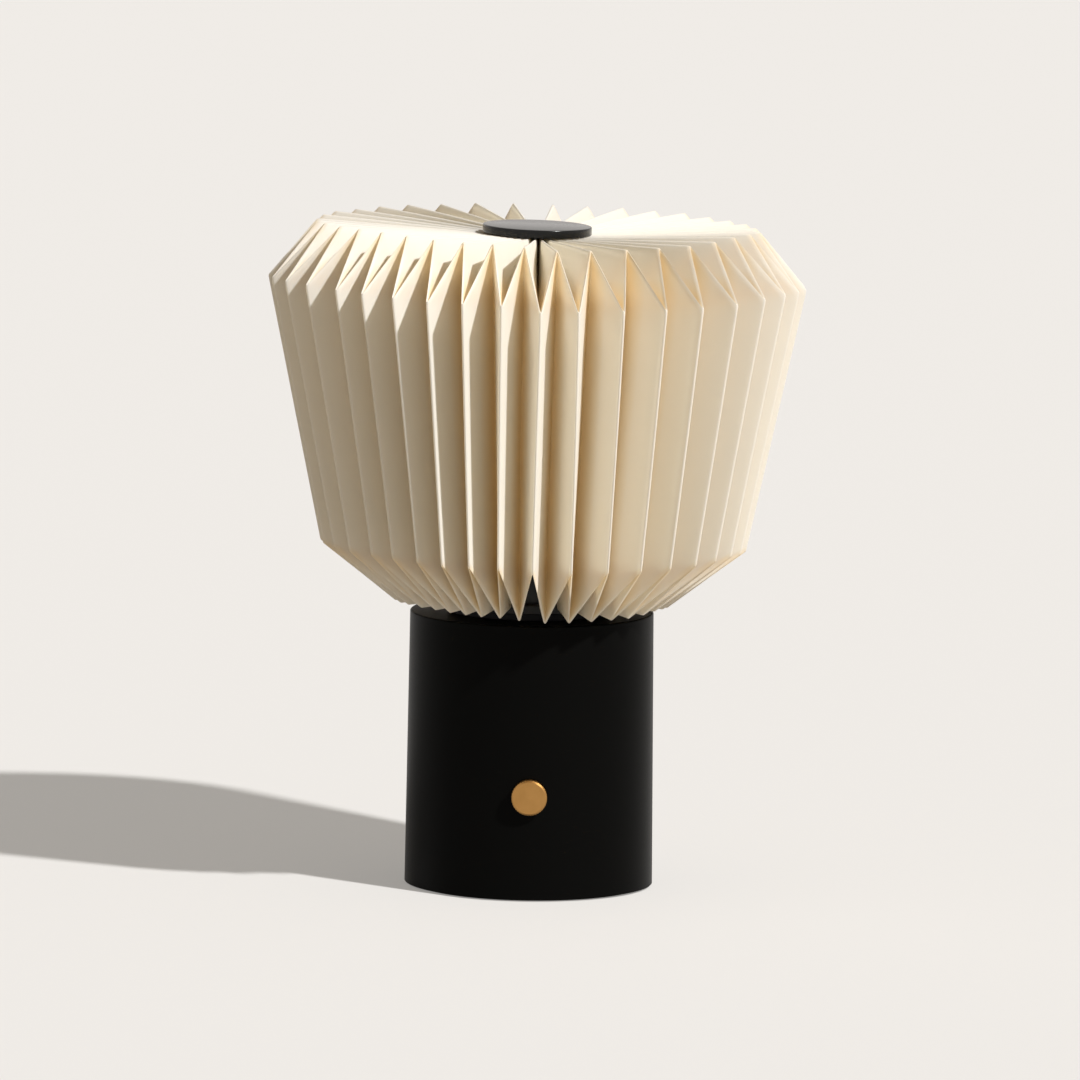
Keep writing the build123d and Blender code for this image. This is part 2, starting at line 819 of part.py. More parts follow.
def blunt_middle(point, plane):
    """The middle of a blunt fold, on its plane."""
    return (blunt(point, plane, 1) + blunt(point, plane, -1)) * 0.5


even_line = [hub_low, shoulder, waist, neck_high]
odd_line = [hub_high, crown, hem, neck_low]
even_shift = [
    rise * fold_shift(hub_r),
    corner_shift(*even_line[:3]),
    corner_shift(*even_line[1:]),
    rise * -fold_shift(neck_r),
]
odd_shift = [
    rise * -fold_shift(hub_r),
    corner_shift(*odd_line[:3]) * -1,
    corner_shift(*odd_line[1:]) * -1,
    rise * fold_shift(neck_r),
]
outer_even = [point + move for point, move in zip(even_line, even_shift)]
inner_odd = [point + move for point, move in zip(odd_line, odd_shift)]
outer_odd = [hub_high, crown - odd_shift[1], hem - odd_shift[2], neck_low]
inner_even = [hub_low, shoulder - even_shift[1], waist - even_shift[2], neck_high]


def facet(*corners):
    """One flat face of the paper."""
    return Face(Wire.make_polygon(corners))


def strip(even, odd):
    """The three spans of one skin between an even and an odd fold."""
    spans = [facet(even[i], even[i + 1], odd[i + 1]) for i in range(3)]
    return spans + [facet(even[i], odd[i + 1], odd[i]) for i in range(3)]


def panel(plane, side):
    """Both skins of the panel on one side of an even fold, with its edges at hub and neck."""
    even = [on_plane(point, plane) for point in outer_even]
    odd = [on_plane(point, plane + side) for point in outer_odd]
    even_in = [on_plane(point, plane) for point in inner_even]
    odd_in = [on_plane(point, plane + side) for point in inner_odd]
    for end in (0, -1):
        odd[end] = blunt(outer_odd[end], plane + side, -side)
        even_in[end] = blunt(inner_even[end], plane, side)
    edges = [facet(odd_in[end], odd[end], even[end], even_in[end]) for end in (0, -1)]
    return strip(even, odd) + strip(even_in, odd_in) + edges


def even_tips(plane):
    """The blunt inside of an even fold at the hub and at the neck."""
    tips = []
    for end, turn in zip((0, -1), (1, -2)):
        pair = [blunt(inner_even[end], plane, side) for side in (1, -1)]
        tips.append(facet(*pair, on_plane(inner_even[turn], plane)))
        tips.append(facet(*pair, on_plane(outer_even[end], plane)))
    return tips


def odd_tips(plane, sides=(1, -1)):
    """The blunt outside of an odd fold at the hub and at the neck, whole or on one side."""
    tips = []
    for end, turn in zip((0, -1), (1, -2)):
        pair = [blunt(outer_odd[end], plane, side) for side in sides]
        if len(sides) == 1:
            pair.append(blunt_middle(outer_odd[end], plane))
        tips.append(facet(*pair, on_plane(outer_odd[turn], plane)))
        tips.append(facet(*pair, on_plane(inner_odd[end], plane)))
    return tips


def sheet_end(plane):
    """The cut end of a sheet, on the plane of an odd fold."""
    outside = [blunt_middle(hub_high, plane)]
    outside += [on_plane(point, plane) for point in outer_odd[1:3]]
    outside.append(blunt_middle(neck_low, plane))
    inside = [on_plane(point, plane) for point in reversed(inner_odd)]
    return facet(*outside, *inside)


def folded_sheet(first, last):
    """The faces of one sheet between two odd folds."""
    faces = [sheet_end(first), sheet_end(last)]
    faces += odd_tips(first, (1,)) + odd_tips(last, (-1,))
    for plane in range(first + 1, last, 2):
        faces += panel(plane, 1) + panel(plane, -1) + even_tips(plane)
    for plane in range(first + 2, last, 2):
        faces += odd_tips(plane)
    return faces


sheet_names = ["shade_right", "shade_back", "shade_left", "shade_front"]
joints = [
    2 * round(pleats * (i - 0.5) / len(sheet_names)) + 1 for i in range(len(sheet_names) + 1)
]
for name, first, last in zip(sheet_names, joints, joints[1:]):
    with BuildPart() as sheet:
        add(Solid(Shell(folded_sheet(first, last))))
    save(sheet.part, name)

# ---- tape over the joints, folded round the inside of the fold ---------------
tape_w = 5.0             # on each side of the fold
tape_t = 0.15
tape_gap = 0.02
tape_start = 0.12        # share of the fold between the crown and the tape's upper end
tape_l = 80.0


def joint_tape(plane):
    """A strip of tape folded round the inside of the fold where two sheets meet."""
    crown_tip, hem_tip = [on_plane(point, plane) for point in inner_odd[1:3]]
    down = (hem_tip - crown_tip).normalized()
    across = down.cross(on_plane(inner_even[1], plane + 1) - crown_tip).cross(down).normalized()
    mirrored = down.cross(on_plane(inner_even[1], plane - 1) - crown_tip).cross(down).normalized()
    inward = (across + mirrored).normalized() * -1
    away = (across - mirrored).normalized()
    lean_in = across.dot(inward)
    lean_out = across.dot(away)
    corners = []
    for offset, sides in ((tape_gap, (1, 0, -1)), (tape_gap + tape_t, (-1, 0, 1))):
        for side in sides:
            tip = offset / lean_out
            reach = abs(side) * (tape_w + offset * lean_in / lean_out)
            corners.append((tip + reach * lean_in, side * reach * lean_out))
    start = crown_tip + (hem_tip - crown_tip) * tape_start
    with BuildSketch(Plane(origin=start, x_dir=inward, z_dir=down)) as face:
        with BuildLine():
            Polyline(*corners, close=True)
        make_face()
    extrude(face.sketch, amount=tape_l)


with BuildPart() as seam_tape:
    for joint in joints[:-1]:
        joint_tape(joint)
save(seam_tape.part, "seam_tape")

# ---- cap --------------------------------------------------------------------
magnet_r = 4.5
magnet_t = 1.2
cap_edge = 0.5
cap_under_edge = 0.4
recess_top = hub_top + seat
with BuildPart() as cap:
    ring(cap_r, 0, cap_under, cap_top)
    fillet(cap.edges().group_by(Axis.Z)[-1], radius=cap_edge)
    chamfer(cap.edges().group_by(Axis.Z)[0], length=cap_under_edge)
    ring(sleeve_r + loose, 0, cap_under, recess_top, mode=Mode.SUBTRACT)
    ring(magnet_r + running, 0, recess_top, recess_top + magnet_t + running, mode=Mode.SUBTRACT)
save(cap.part, "cap")

with BuildPart() as cap_magnet:
    ring(magnet_r, 0, recess_top, recess_top + magnet_t)
save(cap_magnet.part, "cap_magnet")
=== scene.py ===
"""Looks of the pleated paper table lamp.

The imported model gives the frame, in metres, +Z up, the front towards -Y. The folded paper,
the tapes over its joints and the cap are modelled here. Every other piece keeps its own
shape and gets its finish here.
"""
from __future__ import annotations

import json
import logging
import math
import random
from collections.abc import Callable
from dataclasses import dataclass
from enum import Enum

import bpy
from mathutils import Matrix, Vector

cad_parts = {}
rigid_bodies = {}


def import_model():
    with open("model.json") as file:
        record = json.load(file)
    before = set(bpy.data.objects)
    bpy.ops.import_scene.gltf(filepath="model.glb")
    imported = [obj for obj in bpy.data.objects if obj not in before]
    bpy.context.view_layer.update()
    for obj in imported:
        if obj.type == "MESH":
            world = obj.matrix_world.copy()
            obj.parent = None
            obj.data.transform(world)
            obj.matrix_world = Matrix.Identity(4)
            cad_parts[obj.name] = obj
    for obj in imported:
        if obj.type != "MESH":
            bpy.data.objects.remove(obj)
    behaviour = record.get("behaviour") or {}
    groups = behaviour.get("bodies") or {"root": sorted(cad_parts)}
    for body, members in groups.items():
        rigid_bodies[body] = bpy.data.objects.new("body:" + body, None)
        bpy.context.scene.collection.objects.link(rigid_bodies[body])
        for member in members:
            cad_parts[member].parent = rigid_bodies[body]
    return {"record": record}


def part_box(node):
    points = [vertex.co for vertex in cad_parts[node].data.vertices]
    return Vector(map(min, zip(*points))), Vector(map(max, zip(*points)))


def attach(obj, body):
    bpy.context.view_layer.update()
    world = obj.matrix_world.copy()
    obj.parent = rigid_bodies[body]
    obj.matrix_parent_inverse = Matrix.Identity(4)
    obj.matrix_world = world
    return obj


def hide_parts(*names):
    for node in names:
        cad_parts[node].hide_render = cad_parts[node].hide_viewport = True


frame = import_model()

LOG = logging.getLogger("paper_lamp")
MM = 0.001
TOUCH = 1e-6         # points nearer than this are one, in metres
LOOKS_DOWN = -0.99   # a normal's height under which its face looks down
ROUND_SIDES = 128    # sides of a round disc

Colour = tuple[float, float, float]
Place = tuple[float, float, float]
Point = tuple[float, float]


# ---- small helpers ----------------------------------------------------------
def deselect_all() -> None:
    """Leave nothing selected, in object mode."""
    if bpy.context.object and bpy.context.object.mode != "OBJECT":
        bpy.ops.object.mode_set(mode="OBJECT")
    bpy.ops.object.select_all(action="DESELECT")


def make_active(piece: bpy.types.Object) -> None:
    """Select one piece alone and make it the active one.

    Args:
        piece: The piece to select.
    """
    deselect_all()
    piece.select_set(True)
    bpy.context.view_layer.objects.active = piece


def settle(piece: bpy.types.Object) -> None:
    """Put a piece's place into its mesh and its object at the origin.

    Args:
        piece: The piece to settle.
    """
    make_active(piece)
    bpy.ops.object.transform_apply(location=True, rotation=True, scale=True)


def face_outwards(piece: bpy.types.Object, merge: float = TOUCH) -> None:
    """Merge doubles and turn all faces outwards.

    Args:
        piece: The piece to clean.
        merge: The distance under which points are merged, in metres.
    """
    make_active(piece)
    bpy.ops.object.mode_set(mode="EDIT")
    bpy.ops.mesh.select_all(action="SELECT")
    bpy.ops.mesh.remove_doubles(threshold=merge)
    bpy.ops.mesh.normals_make_consistent(inside=False)
    bpy.ops.object.mode_set(mode="OBJECT")


def apply_modifier(piece: bpy.types.Object, kind: str, **values: object) -> None:
    """Add one modifier, set it and apply it.

    Args:
        piece: The piece that gets the modifier.
        kind: The modifier's type, such as BEVEL.
        values: The modifier's settings.
    """
    make_active(piece)
    modifier = piece.modifiers.new(kind.title(), kind)
    for name, value in values.items():
        setattr(modifier, name, value)
    bpy.ops.object.modifier_apply(modifier=modifier.name)


def smooth(piece: bpy.types.Object, degrees: float) -> None:
    """Shade smooth, with sharp edges above an angle.

    Args:
        piece: The piece to shade.
        degrees: The angle between faces from which their edge stays sharp.
    """
    make_active(piece)
    bpy.ops.object.shade_smooth_by_angle(angle=math.radians(degrees))


def dress(piece: bpy.types.Object, material: bpy.types.Material) -> None:
    """Give a piece one material in every slot.

    Args:
        piece: The piece to dress.
        material: Its material.
    """
    if not piece.material_slots:
        piece.data.materials.append(material)
    for slot in piece.material_slots:
        slot.material = material


def add_grid(name: str, across: int, along: int) -> bpy.types.Object:
    """A flat grid, one metre square about the origin, to be shaped.

    Args:
        name: The new piece's name.
        across: Its number of cells in X.
        along: Its number of cells in Y.

    Returns:
        The grid.
    """
    deselect_all()
    bpy.ops.mesh.primitive_grid_add(x_subdivisions=across, y_subdivisions=along, size=1.0)
    piece = bpy.context.object
    piece.name = name
    return piece


def add_disc(name: str, radius_mm: float, low_mm: float, high_mm: float) -> bpy.types.Object:
    """A round disc about the Z axis between two heights.

    Args:
        name: The new piece's name.
        radius_mm: Its radius, in millimetres.
        low_mm: Its lower height.
        high_mm: Its upper height.

    Returns:
        The disc.
    """
    deselect_all()
    bpy.ops.mesh.primitive_cylinder_add(
        vertices=ROUND_SIDES,
        radius=radius_mm * MM,
        depth=(high_mm - low_mm) * MM,
        location=(0.0, 0.0, (low_mm + high_mm) / 2 * MM),
    )
    piece = bpy.context.object
    piece.name = name
    settle(piece)
    return piece


def select_faces(
    piece: bpy.types.Object,
    wanted: Callable[[bpy.types.MeshPolygon], bool],
) -> None:
    """Enter edit mode with only some faces selected.

    Args:
        piece: The piece to shape.
        wanted: A test that is true for a face to select.
    """
    make_active(piece)
    mesh = piece.data
    for face in mesh.polygons:
        face.select = wanted(face)
    for edge in mesh.edges:
        edge.select = False
    for vertex in mesh.vertices:
        vertex.select = False
    for face in mesh.polygons:
        if face.select:
            for index in face.vertices:
                mesh.vertices[index].select = True
    bpy.context.tool_settings.mesh_select_mode = (False, False, True)
    bpy.ops.object.mode_set(mode="EDIT")


# ---- shader nodes -----------------------------------------------------------
def add_maths(
    tree: bpy.types.NodeTree, operation: str, clamp: bool = False
) -> bpy.types.Node:
    """Add a maths node.

    Args:
        tree: The node tree.
        operation: What it works out, such as MULTIPLY.
        clamp: Whether its result stays between 0 and 1.

    Returns:
        The node.
    """
    node = tree.nodes.new("ShaderNodeMath")
    node.operation = operation
    node.use_clamp = clamp
    return node


def add_mix(
    tree: bpy.types.NodeTree, first: Colour | None = None, second: Colour | None = None
) -> bpy.types.Node:
    """Add a mix of two colours.

    Args:
        tree: The node tree.
        first: The colour at a factor of 0, where it isn't linked.
        second: The colour at a factor of 1, where it isn't linked.

    Returns:
        The node.
    """
    node = tree.nodes.new("ShaderNodeMix")
    node.data_type = "RGBA"
    for name, colour in (("A", first), ("B", second)):
        if colour is not None:
            node.inputs[name].default_value = (*colour, 1.0)
    return node


def add_range(tree: bpy.types.NodeTree, low: float, high: float) -> bpy.types.Node:
    """Add a node that spreads a range of values over 0 to 1.

    Args:
        tree: The node tree.
        low: The value that becomes 0.
        high: The value that becomes 1.

    Returns:
        The node.
    """
    node = tree.nodes.new("ShaderNodeMapRange")
    node.inputs["From Min"].default_value = low
    node.inputs["From Max"].default_value = high
    return node


def add_noise(tree: bpy.types.NodeTree, detail: float) -> bpy.types.Node:
    """Add a noise.

    Args:
        tree: The node tree.
        detail: How many finer layers the noise has.

    Returns:
        The node.
    """
    node = tree.nodes.new("ShaderNodeTexNoise")
    node.inputs["Detail"].default_value = detail
    return node


def add_attribute(tree: bpy.types.NodeTree, name: str) -> bpy.types.Node:
    """Add a node that reads one of the mesh's own attributes.

    Args:
        tree: The node tree.
        name: The attribute's name.

    Returns:
        The node.
    """
    node = tree.nodes.new("ShaderNodeAttribute")
    node.attribute_name = name
    return node


# ---- shared effects ---------------------------------------------------------
class Effect(Enum):
    """Shader effects that more than one finish uses."""

    MOTTLE = "mottle"
    FINE_GRAIN = "fine_grain"
    TURNED_LINES = "turned_lines"
    DUST = "dust"


class Effects:
    """Builds each shared effect once and hands out its node group."""

    def __init__(self) -> None:
        """Start with no group made."""
        self._made: dict[Effect, bpy.types.NodeTree] = {}
        self._makers: dict[Effect, Callable[[], bpy.types.NodeTree]] = {
            Effect.MOTTLE: self._mottle,
            Effect.FINE_GRAIN: self._fine_grain,
            Effect.TURNED_LINES: self._turned_lines,
            Effect.DUST: self._dust,
        }

    def get(self, effect: Effect) -> bpy.types.NodeTree:
        """The node group of an effect, made on first use.

        Args:
            effect: The effect that is wanted.

        Returns:
            Its node group.
        """
        if effect not in self._made:
            self._made[effect] = self._makers[effect]()
        return self._made[effect]

    @staticmethod
    def _start(
        effect: Effect,
        inputs: dict[str, float | Colour],
        outputs: dict[str, str],
    ) -> tuple[bpy.types.NodeTree, bpy.types.Node, bpy.types.Node]:
        """Open a node group with named sockets.

        Args:
            effect: The effect that the group makes.
            inputs: Each input's name and default; a colour where it has three values.
            outputs: Each output's name and socket type.

        Returns:
            The group, its input node and its output node.
        """
        tree = bpy.data.node_groups.new(effect.value, "ShaderNodeTree")
        for name, value in inputs.items():
            is_colour = isinstance(value, tuple)
            kind = "NodeSocketColor" if is_colour else "NodeSocketFloat"
            socket = tree.interface.new_socket(name, in_out="INPUT", socket_type=kind)
            socket.default_value = (*value, 1.0) if is_colour else value
        for name, kind in outputs.items():
            tree.interface.new_socket(name, in_out="OUTPUT", socket_type=kind)
        return tree, tree.nodes.new("NodeGroupInput"), tree.nodes.new("NodeGroupOutput")

    def _mottle(self) -> bpy.types.NodeTree:
        """Soft clouds of two colours, on the object's own coordinates.

        Returns:
            The node group.
        """
        tree, given, out = self._start(
            Effect.MOTTLE,
            {"Colour": (0.5, 0.5, 0.5), "Other": (0.4, 0.4, 0.4), "Scale": 30.0, "Amount": 0.5},
            {"Colour": "NodeSocketColor"},
        )
        place = tree.nodes.new("ShaderNodeTexCoord")
        noise = add_noise(tree, detail=4.0)
        spread = add_range(tree, low=0.35, high=0.65)
        amount = add_maths(tree, "MULTIPLY")
        mix = add_mix(tree)
        link = tree.links.new
        link(place.outputs["Object"], noise.inputs["Vector"])
        link(given.outputs["Scale"], noise.inputs["Scale"])
        link(noise.outputs["Fac"], spread.inputs["Value"])
        link(spread.outputs["Result"], amount.inputs[0])
        link(given.outputs["Amount"], amount.inputs[1])
        link(amount.outputs["Value"], mix.inputs["Factor"])
        link(given.outputs["Colour"], mix.inputs["A"])
        link(given.outputs["Other"], mix.inputs["B"])
        link(mix.outputs["Result"], out.inputs["Colour"])
        return tree

    def _fine_grain(self) -> bpy.types.NodeTree:
        """A fine even grain: a height for a bump and a roughness that varies a little.

        Returns:
            The node group.
        """
        tree, given, out = self._start(
            Effect.FINE_GRAIN,
            {"Scale": 2500.0, "Roughness": 0.5, "Spread": 0.1},
            {"Height": "NodeSocketFloat", "Roughness": "NodeSocketFloat"},
        )
        place = tree.nodes.new("ShaderNodeTexCoord")
        noise = add_noise(tree, detail=3.0)
        noise.inputs["Roughness"].default_value = 0.6
        centred = add_maths(tree, "SUBTRACT")
        centred.inputs[1].default_value = 0.5
        scaled = add_maths(tree, "MULTIPLY_ADD")
        link = tree.links.new
        link(place.outputs["Object"], noise.inputs["Vector"])
        link(given.outputs["Scale"], noise.inputs["Scale"])
        link(noise.outputs["Fac"], centred.inputs[0])
        link(centred.outputs["Value"], scaled.inputs[0])
        link(given.outputs["Spread"], scaled.inputs[1])
        link(given.outputs["Roughness"], scaled.inputs[2])
        link(noise.outputs["Fac"], out.inputs["Height"])
        link(scaled.outputs["Value"], out.inputs["Roughness"])
        return tree

    def _turned_lines(self) -> bpy.types.NodeTree:
        """Fine rings left by turning, about the object's Y or Z axis.

        Returns:
            The node group.
        """
        tree, given, out = self._start(
            Effect.TURNED_LINES,
            {"Centre X": 0.0, "Centre Y": 0.0, "Centre Z": 0.0, "Along Z": 1.0, "Scale": 900.0},
            {"Height": "NodeSocketFloat"},
        )
        place = tree.nodes.new("ShaderNodeTexCoord")
        centre = tree.nodes.new("ShaderNodeCombineXYZ")
        moved = tree.nodes.new("ShaderNodeVectorMath")
        moved.operation = "SUBTRACT"
        parts = tree.nodes.new("ShaderNodeSeparateXYZ")
        side = tree.nodes.new("ShaderNodeMix")
        side.data_type = "FLOAT"
        flat = tree.nodes.new("ShaderNodeCombineXYZ")
        length = tree.nodes.new("ShaderNodeVectorMath")
        length.operation = "LENGTH"
        noise = add_noise(tree, detail=3.0)
        noise.noise_dimensions = "1D"
        link = tree.links.new
        for axis in "XYZ":
            link(given.outputs[f"Centre {axis}"], centre.inputs[axis])
        link(place.outputs["Object"], moved.inputs[0])
        link(centre.outputs["Vector"], moved.inputs[1])
        link(moved.outputs["Vector"], parts.inputs["Vector"])
        link(given.outputs["Along Z"], side.inputs["Factor"])
        link(parts.outputs["Z"], side.inputs["A"])
        link(parts.outputs["Y"], side.inputs["B"])
        link(parts.outputs["X"], flat.inputs["X"])
        link(side.outputs["Result"], flat.inputs["Y"])
        link(flat.outputs["Vector"], length.inputs[0])
        link(length.outputs["Value"], noise.inputs["W"])
        link(given.outputs["Scale"], noise.inputs["Scale"])
        link(noise.outputs["Fac"], out.inputs["Height"])
        return tree

    def _dust(self) -> bpy.types.NodeTree:
        """Light dust that lies on faces that look up.

        Returns:
            The node group.
        """
        tree, given, out = self._start(
            Effect.DUST,
            {"Colour": (0.1, 0.1, 0.1), "Dust": (0.5, 0.48, 0.45), "Amount": 0.1, "Scale": 400.0},
            {"Colour": "NodeSocketColor"},
        )
        geometry = tree.nodes.new("ShaderNodeNewGeometry")
        parts = tree.nodes.new("ShaderNodeSeparateXYZ")
        place = tree.nodes.new("ShaderNodeTexCoord")
        noise = add_noise(tree, detail=5.0)
        speck = add_range(tree, low=0.45, high=0.7)
        up = add_maths(tree, "MULTIPLY", clamp=True)
        amount = add_maths(tree, "MULTIPLY", clamp=True)
        mix = add_mix(tree)
        link = tree.links.new
        link(geometry.outputs["Normal"], parts.inputs["Vector"])
        link(place.outputs["Object"], noise.inputs["Vector"])
        link(given.outputs["Scale"], noise.inputs["Scale"])
        link(noise.outputs["Fac"], speck.inputs["Value"])
        link(parts.outputs["Z"], up.inputs[0])
        link(speck.outputs["Result"], up.inputs[1])
        link(up.outputs["Value"], amount.inputs[0])
        link(given.outputs["Amount"], amount.inputs[1])
        link(amount.outputs["Value"], mix.inputs["Factor"])
        link(given.outputs["Colour"], mix.inputs["A"])
        link(given.outputs["Dust"], mix.inputs["B"])
        link(mix.outputs["Result"], out.inputs["Colour"])
        return tree


EFFECTS = Effects()


def place_effect(
    tree: bpy.types.NodeTree, effect: Effect, **values: float | Colour
) -> bpy.types.Node:
    """Put a shared effect into a material.

    Args:
        tree: The material's node tree.
        effect: The effect to place.
        values: Its inputs, by name with underscores for spaces.

    Returns:
        The group node.
    """
    node = tree.nodes.new("ShaderNodeGroup")
    node.node_tree = EFFECTS.get(effect)
    for name, value in values.items():
        socket = node.inputs[name.replace("_", " ")]
        socket.default_value = (*value, 1.0) if isinstance(value, tuple) else value
    return node


def new_surface(name: str) -> tuple[bpy.types.Material, bpy.types.NodeTree, bpy.types.Node]:
    """A new material with a plain Principled shader.

    Args:
        name: The material's name.

    Returns:
        The material, its node tree and the shader node.
    """
    material = bpy.data.materials.new(name)
    material.use_nodes = True
    tree = material.node_tree
    return material, tree, tree.nodes["Principled BSDF"]


def add_bump(
    tree: bpy.types.NodeTree,
    shader: bpy.types.Node,
    height: bpy.types.NodeSocket,
    distance_mm: float,
    strength: float = 1.0,
) -> None:
    """Drive a shader's normal from a height.

    Args:
        tree: The material's node tree.
        shader: The shader that gets the normal.
        height: The socket that gives the height, 0 to 1.
        distance_mm: How high a height of 1 stands, in millimetres.
        strength: How much of the bump shows.
    """
    bump = tree.nodes.new("ShaderNodeBump")
    bump.inputs["Distance"].default_value = distance_mm * MM
    bump.inputs["Strength"].default_value = strength
    tree.links.new(height, bump.inputs["Height"])
    tree.links.new(bump.outputs["Normal"], shader.inputs["Normal"])


def add_mottled_grain(
    tree: bpy.types.NodeTree,
    shader: bpy.types.Node,
    mottle: dict[str, float | Colour],
    grain: dict[str, float],
) -> bpy.types.NodeSocket:
    """Give a shader a mottled colour and a roughness with a fine grain.

    Args:
        tree: The material's node tree.
        shader: The shader that gets both.
        mottle: The inputs of the mottle.
        grain: The inputs of the fine grain.

    Returns:
        The grain's height, for a bump.
    """
    clouds = place_effect(tree, Effect.MOTTLE, **mottle)
    fine = place_effect(tree, Effect.FINE_GRAIN, **grain)
    tree.links.new(clouds.outputs["Colour"], shader.inputs["Base Color"])
    tree.links.new(fine.outputs["Roughness"], shader.inputs["Roughness"])
    return fine.outputs["Height"]


# ---- finishes ---------------------------------------------------------------
@dataclass(frozen=True)
class PaperFinish:
    """Warm ivory card that lets some light through, with painted shade towards each valley and
    paler fold tips, for wear and a painted highlight.

    The light is scattered once, at the outer side of the card. Its inner side is clear.
    """

    name: str = "folded_paper"
    sheet: Colour = (0.965, 0.952, 0.92)
    sheet_other: Colour = (0.95, 0.935, 0.9)
    # Paler colour at the fold tips and turns: partly wear, partly a painted highlight on the
    # folds.
    fold_wear_and_highlight: Colour = (0.97, 0.95, 0.91)
    # Painted shade: orange-tan colour laid towards each valley, in place of the shade and bounced
    # light in the folds.
    valley_shade: Colour = (0.88, 0.62, 0.26)
    through: Colour = (0.99, 0.925, 0.77)
    through_share: float = 0.42
    roughness: float = 0.82
    specular: float = 0.25
    fibre_mm: float = 0.03

    def build(self) -> bpy.types.Material:
        """Make the material.

        Returns:
            The material.
        """
        material, tree, shader = new_surface(self.name)
        link = tree.links.new
        mottle = place_effect(
            tree, Effect.MOTTLE, Colour=self.sheet, Other=self.sheet_other, Scale=55.0, Amount=0.8
        )
        fibre = place_effect(
            tree, Effect.FINE_GRAIN, Scale=1500.0, Roughness=self.roughness, Spread=0.2
        )
        # Painted shade: the colour turns orange-tan towards each valley, by the mesh's valley
        # attribute.
        valley = add_attribute(tree, "valley")
        valley_shaded = add_mix(tree, second=self.valley_shade)
        # Paler at fold tips and turns, by the crease attribute: partly wear, partly a painted
        # highlight.
        crease = add_attribute(tree, "crease")
        pale = add_mix(tree, second=self.fold_wear_and_highlight)
        link(mottle.outputs["Colour"], valley_shaded.inputs["A"])
        link(valley.outputs["Fac"], valley_shaded.inputs["Factor"])
        link(valley_shaded.outputs["Result"], pale.inputs["A"])
        link(crease.outputs["Fac"], pale.inputs["Factor"])
        link(pale.outputs["Result"], shader.inputs["Base Color"])
        link(fibre.outputs["Roughness"], shader.inputs["Roughness"])
        add_bump(tree, shader, fibre.outputs["Height"], self.fibre_mm, strength=0.35)
        shader.inputs["Specular IOR Level"].default_value = self.specular
        through = tree.nodes.new("ShaderNodeBsdfTranslucent")
        through.inputs["Color"].default_value = (*self.through, 1.0)
        both = tree.nodes.new("ShaderNodeMixShader")
        both.inputs[0].default_value = self.through_share
        link(shader.outputs["BSDF"], both.inputs[1])
        link(through.outputs["BSDF"], both.inputs[2])
        clear = tree.nodes.new("ShaderNodeBsdfTransparent")
        geometry = tree.nodes.new("ShaderNodeNewGeometry")
        card = tree.nodes.new("ShaderNodeMixShader")
        link(geometry.outputs["Backfacing"], card.inputs[0])
        link(both.outputs["Shader"], card.inputs[1])
        link(clear.outputs["BSDF"], card.inputs[2])
        link(card.outputs["Shader"], tree.nodes["Material Output"].inputs["Surface"])
        return material


@dataclass(frozen=True)
class PaintFinish:
    """Black powder coat: satin, with a fine orange peel and a little dust on top."""

    name: str
    colour: Colour = (0.002, 0.002, 0.0018)
    roughness: float = 0.38
    specular: float = 0.03
    peel_mm: float = 0.012
    dust: float = 0.006
    dust_colour: Colour = (0.42, 0.39, 0.36)

    def build(self) -> bpy.types.Material:
        """Make the material.

        Returns:
            The material.
        """
        material, tree, shader = new_surface(self.name)
        link = tree.links.new
        dust = place_effect(
            tree, Effect.DUST, Colour=self.colour, Dust=self.dust_colour, Amount=self.dust
        )
        peel = place_effect(
            tree, Effect.FINE_GRAIN, Scale=900.0, Roughness=self.roughness, Spread=0.12
        )
        link(dust.outputs["Colour"], shader.inputs["Base Color"])
        link(peel.outputs["Roughness"], shader.inputs["Roughness"])
        add_bump(tree, shader, peel.outputs["Height"], self.peel_mm, strength=0.5)
        shader.inputs["Specular IOR Level"].default_value = self.specular
        return material


@dataclass(frozen=True)
class OpalFinish:
    """Opal white, black below a set height."""

    name: str
    colour: Colour = (0.88, 0.88, 0.86)
    foot: Colour = (0.004, 0.004, 0.004)
    foot_high_mm: float = 134.0
    blur_mm: float = 0.1
    roughness: float = 0.4

    def build(self) -> bpy.types.Material:
        """Make the material.

        Returns:
            The material.
        """
        material, tree, shader = new_surface(self.name)
        link = tree.links.new
        place = tree.nodes.new("ShaderNodeTexCoord")
        parts = tree.nodes.new("ShaderNodeSeparateXYZ")
        height = add_range(
            tree, low=self.foot_high_mm * MM, high=(self.foot_high_mm + self.blur_mm) * MM
        )
        paint = add_mix(tree, first=self.foot, second=self.colour)
        link(place.outputs["Object"], parts.inputs["Vector"])
        link(parts.outputs["Z"], height.inputs["Value"])
        link(height.outputs["Result"], paint.inputs["Factor"])
        link(paint.outputs["Result"], shader.inputs["Base Color"])
        shader.inputs["Roughness"].default_value = self.roughness
        return material


@dataclass(frozen=True)
class TurnedMetal:
    """Metal with fine rings from the lathe."""

    name: str
    colour: Colour
    colour_other: Colour
    roughness: float = 0.3
    centre: Place = (0.0, 0.0, 0.0)
    about_y: bool = False
    line_mm: float = 0.004

    def build(self) -> bpy.types.Material:
        """Make the material.

        Returns:
            The material.
        """
        material, tree, shader = new_surface(self.name)
        rings = place_effect(
            tree,
            Effect.TURNED_LINES,
            Centre_X=self.centre[0],
            Centre_Y=self.centre[1],
            Centre_Z=self.centre[2],
            Along_Z=0.0 if self.about_y else 1.0,
            Scale=2600.0,
        )
        add_mottled_grain(
            tree,
            shader,
            {"Colour": self.colour, "Other": self.colour_other, "Scale": 180.0, "Amount": 0.7},
            {"Scale": 700.0, "Roughness": self.roughness, "Spread": 0.18},
        )
        shader.inputs["Metallic"].default_value = 1.0
        add_bump(tree, shader, rings.outputs["Height"], self.line_mm, strength=0.6)
        return material


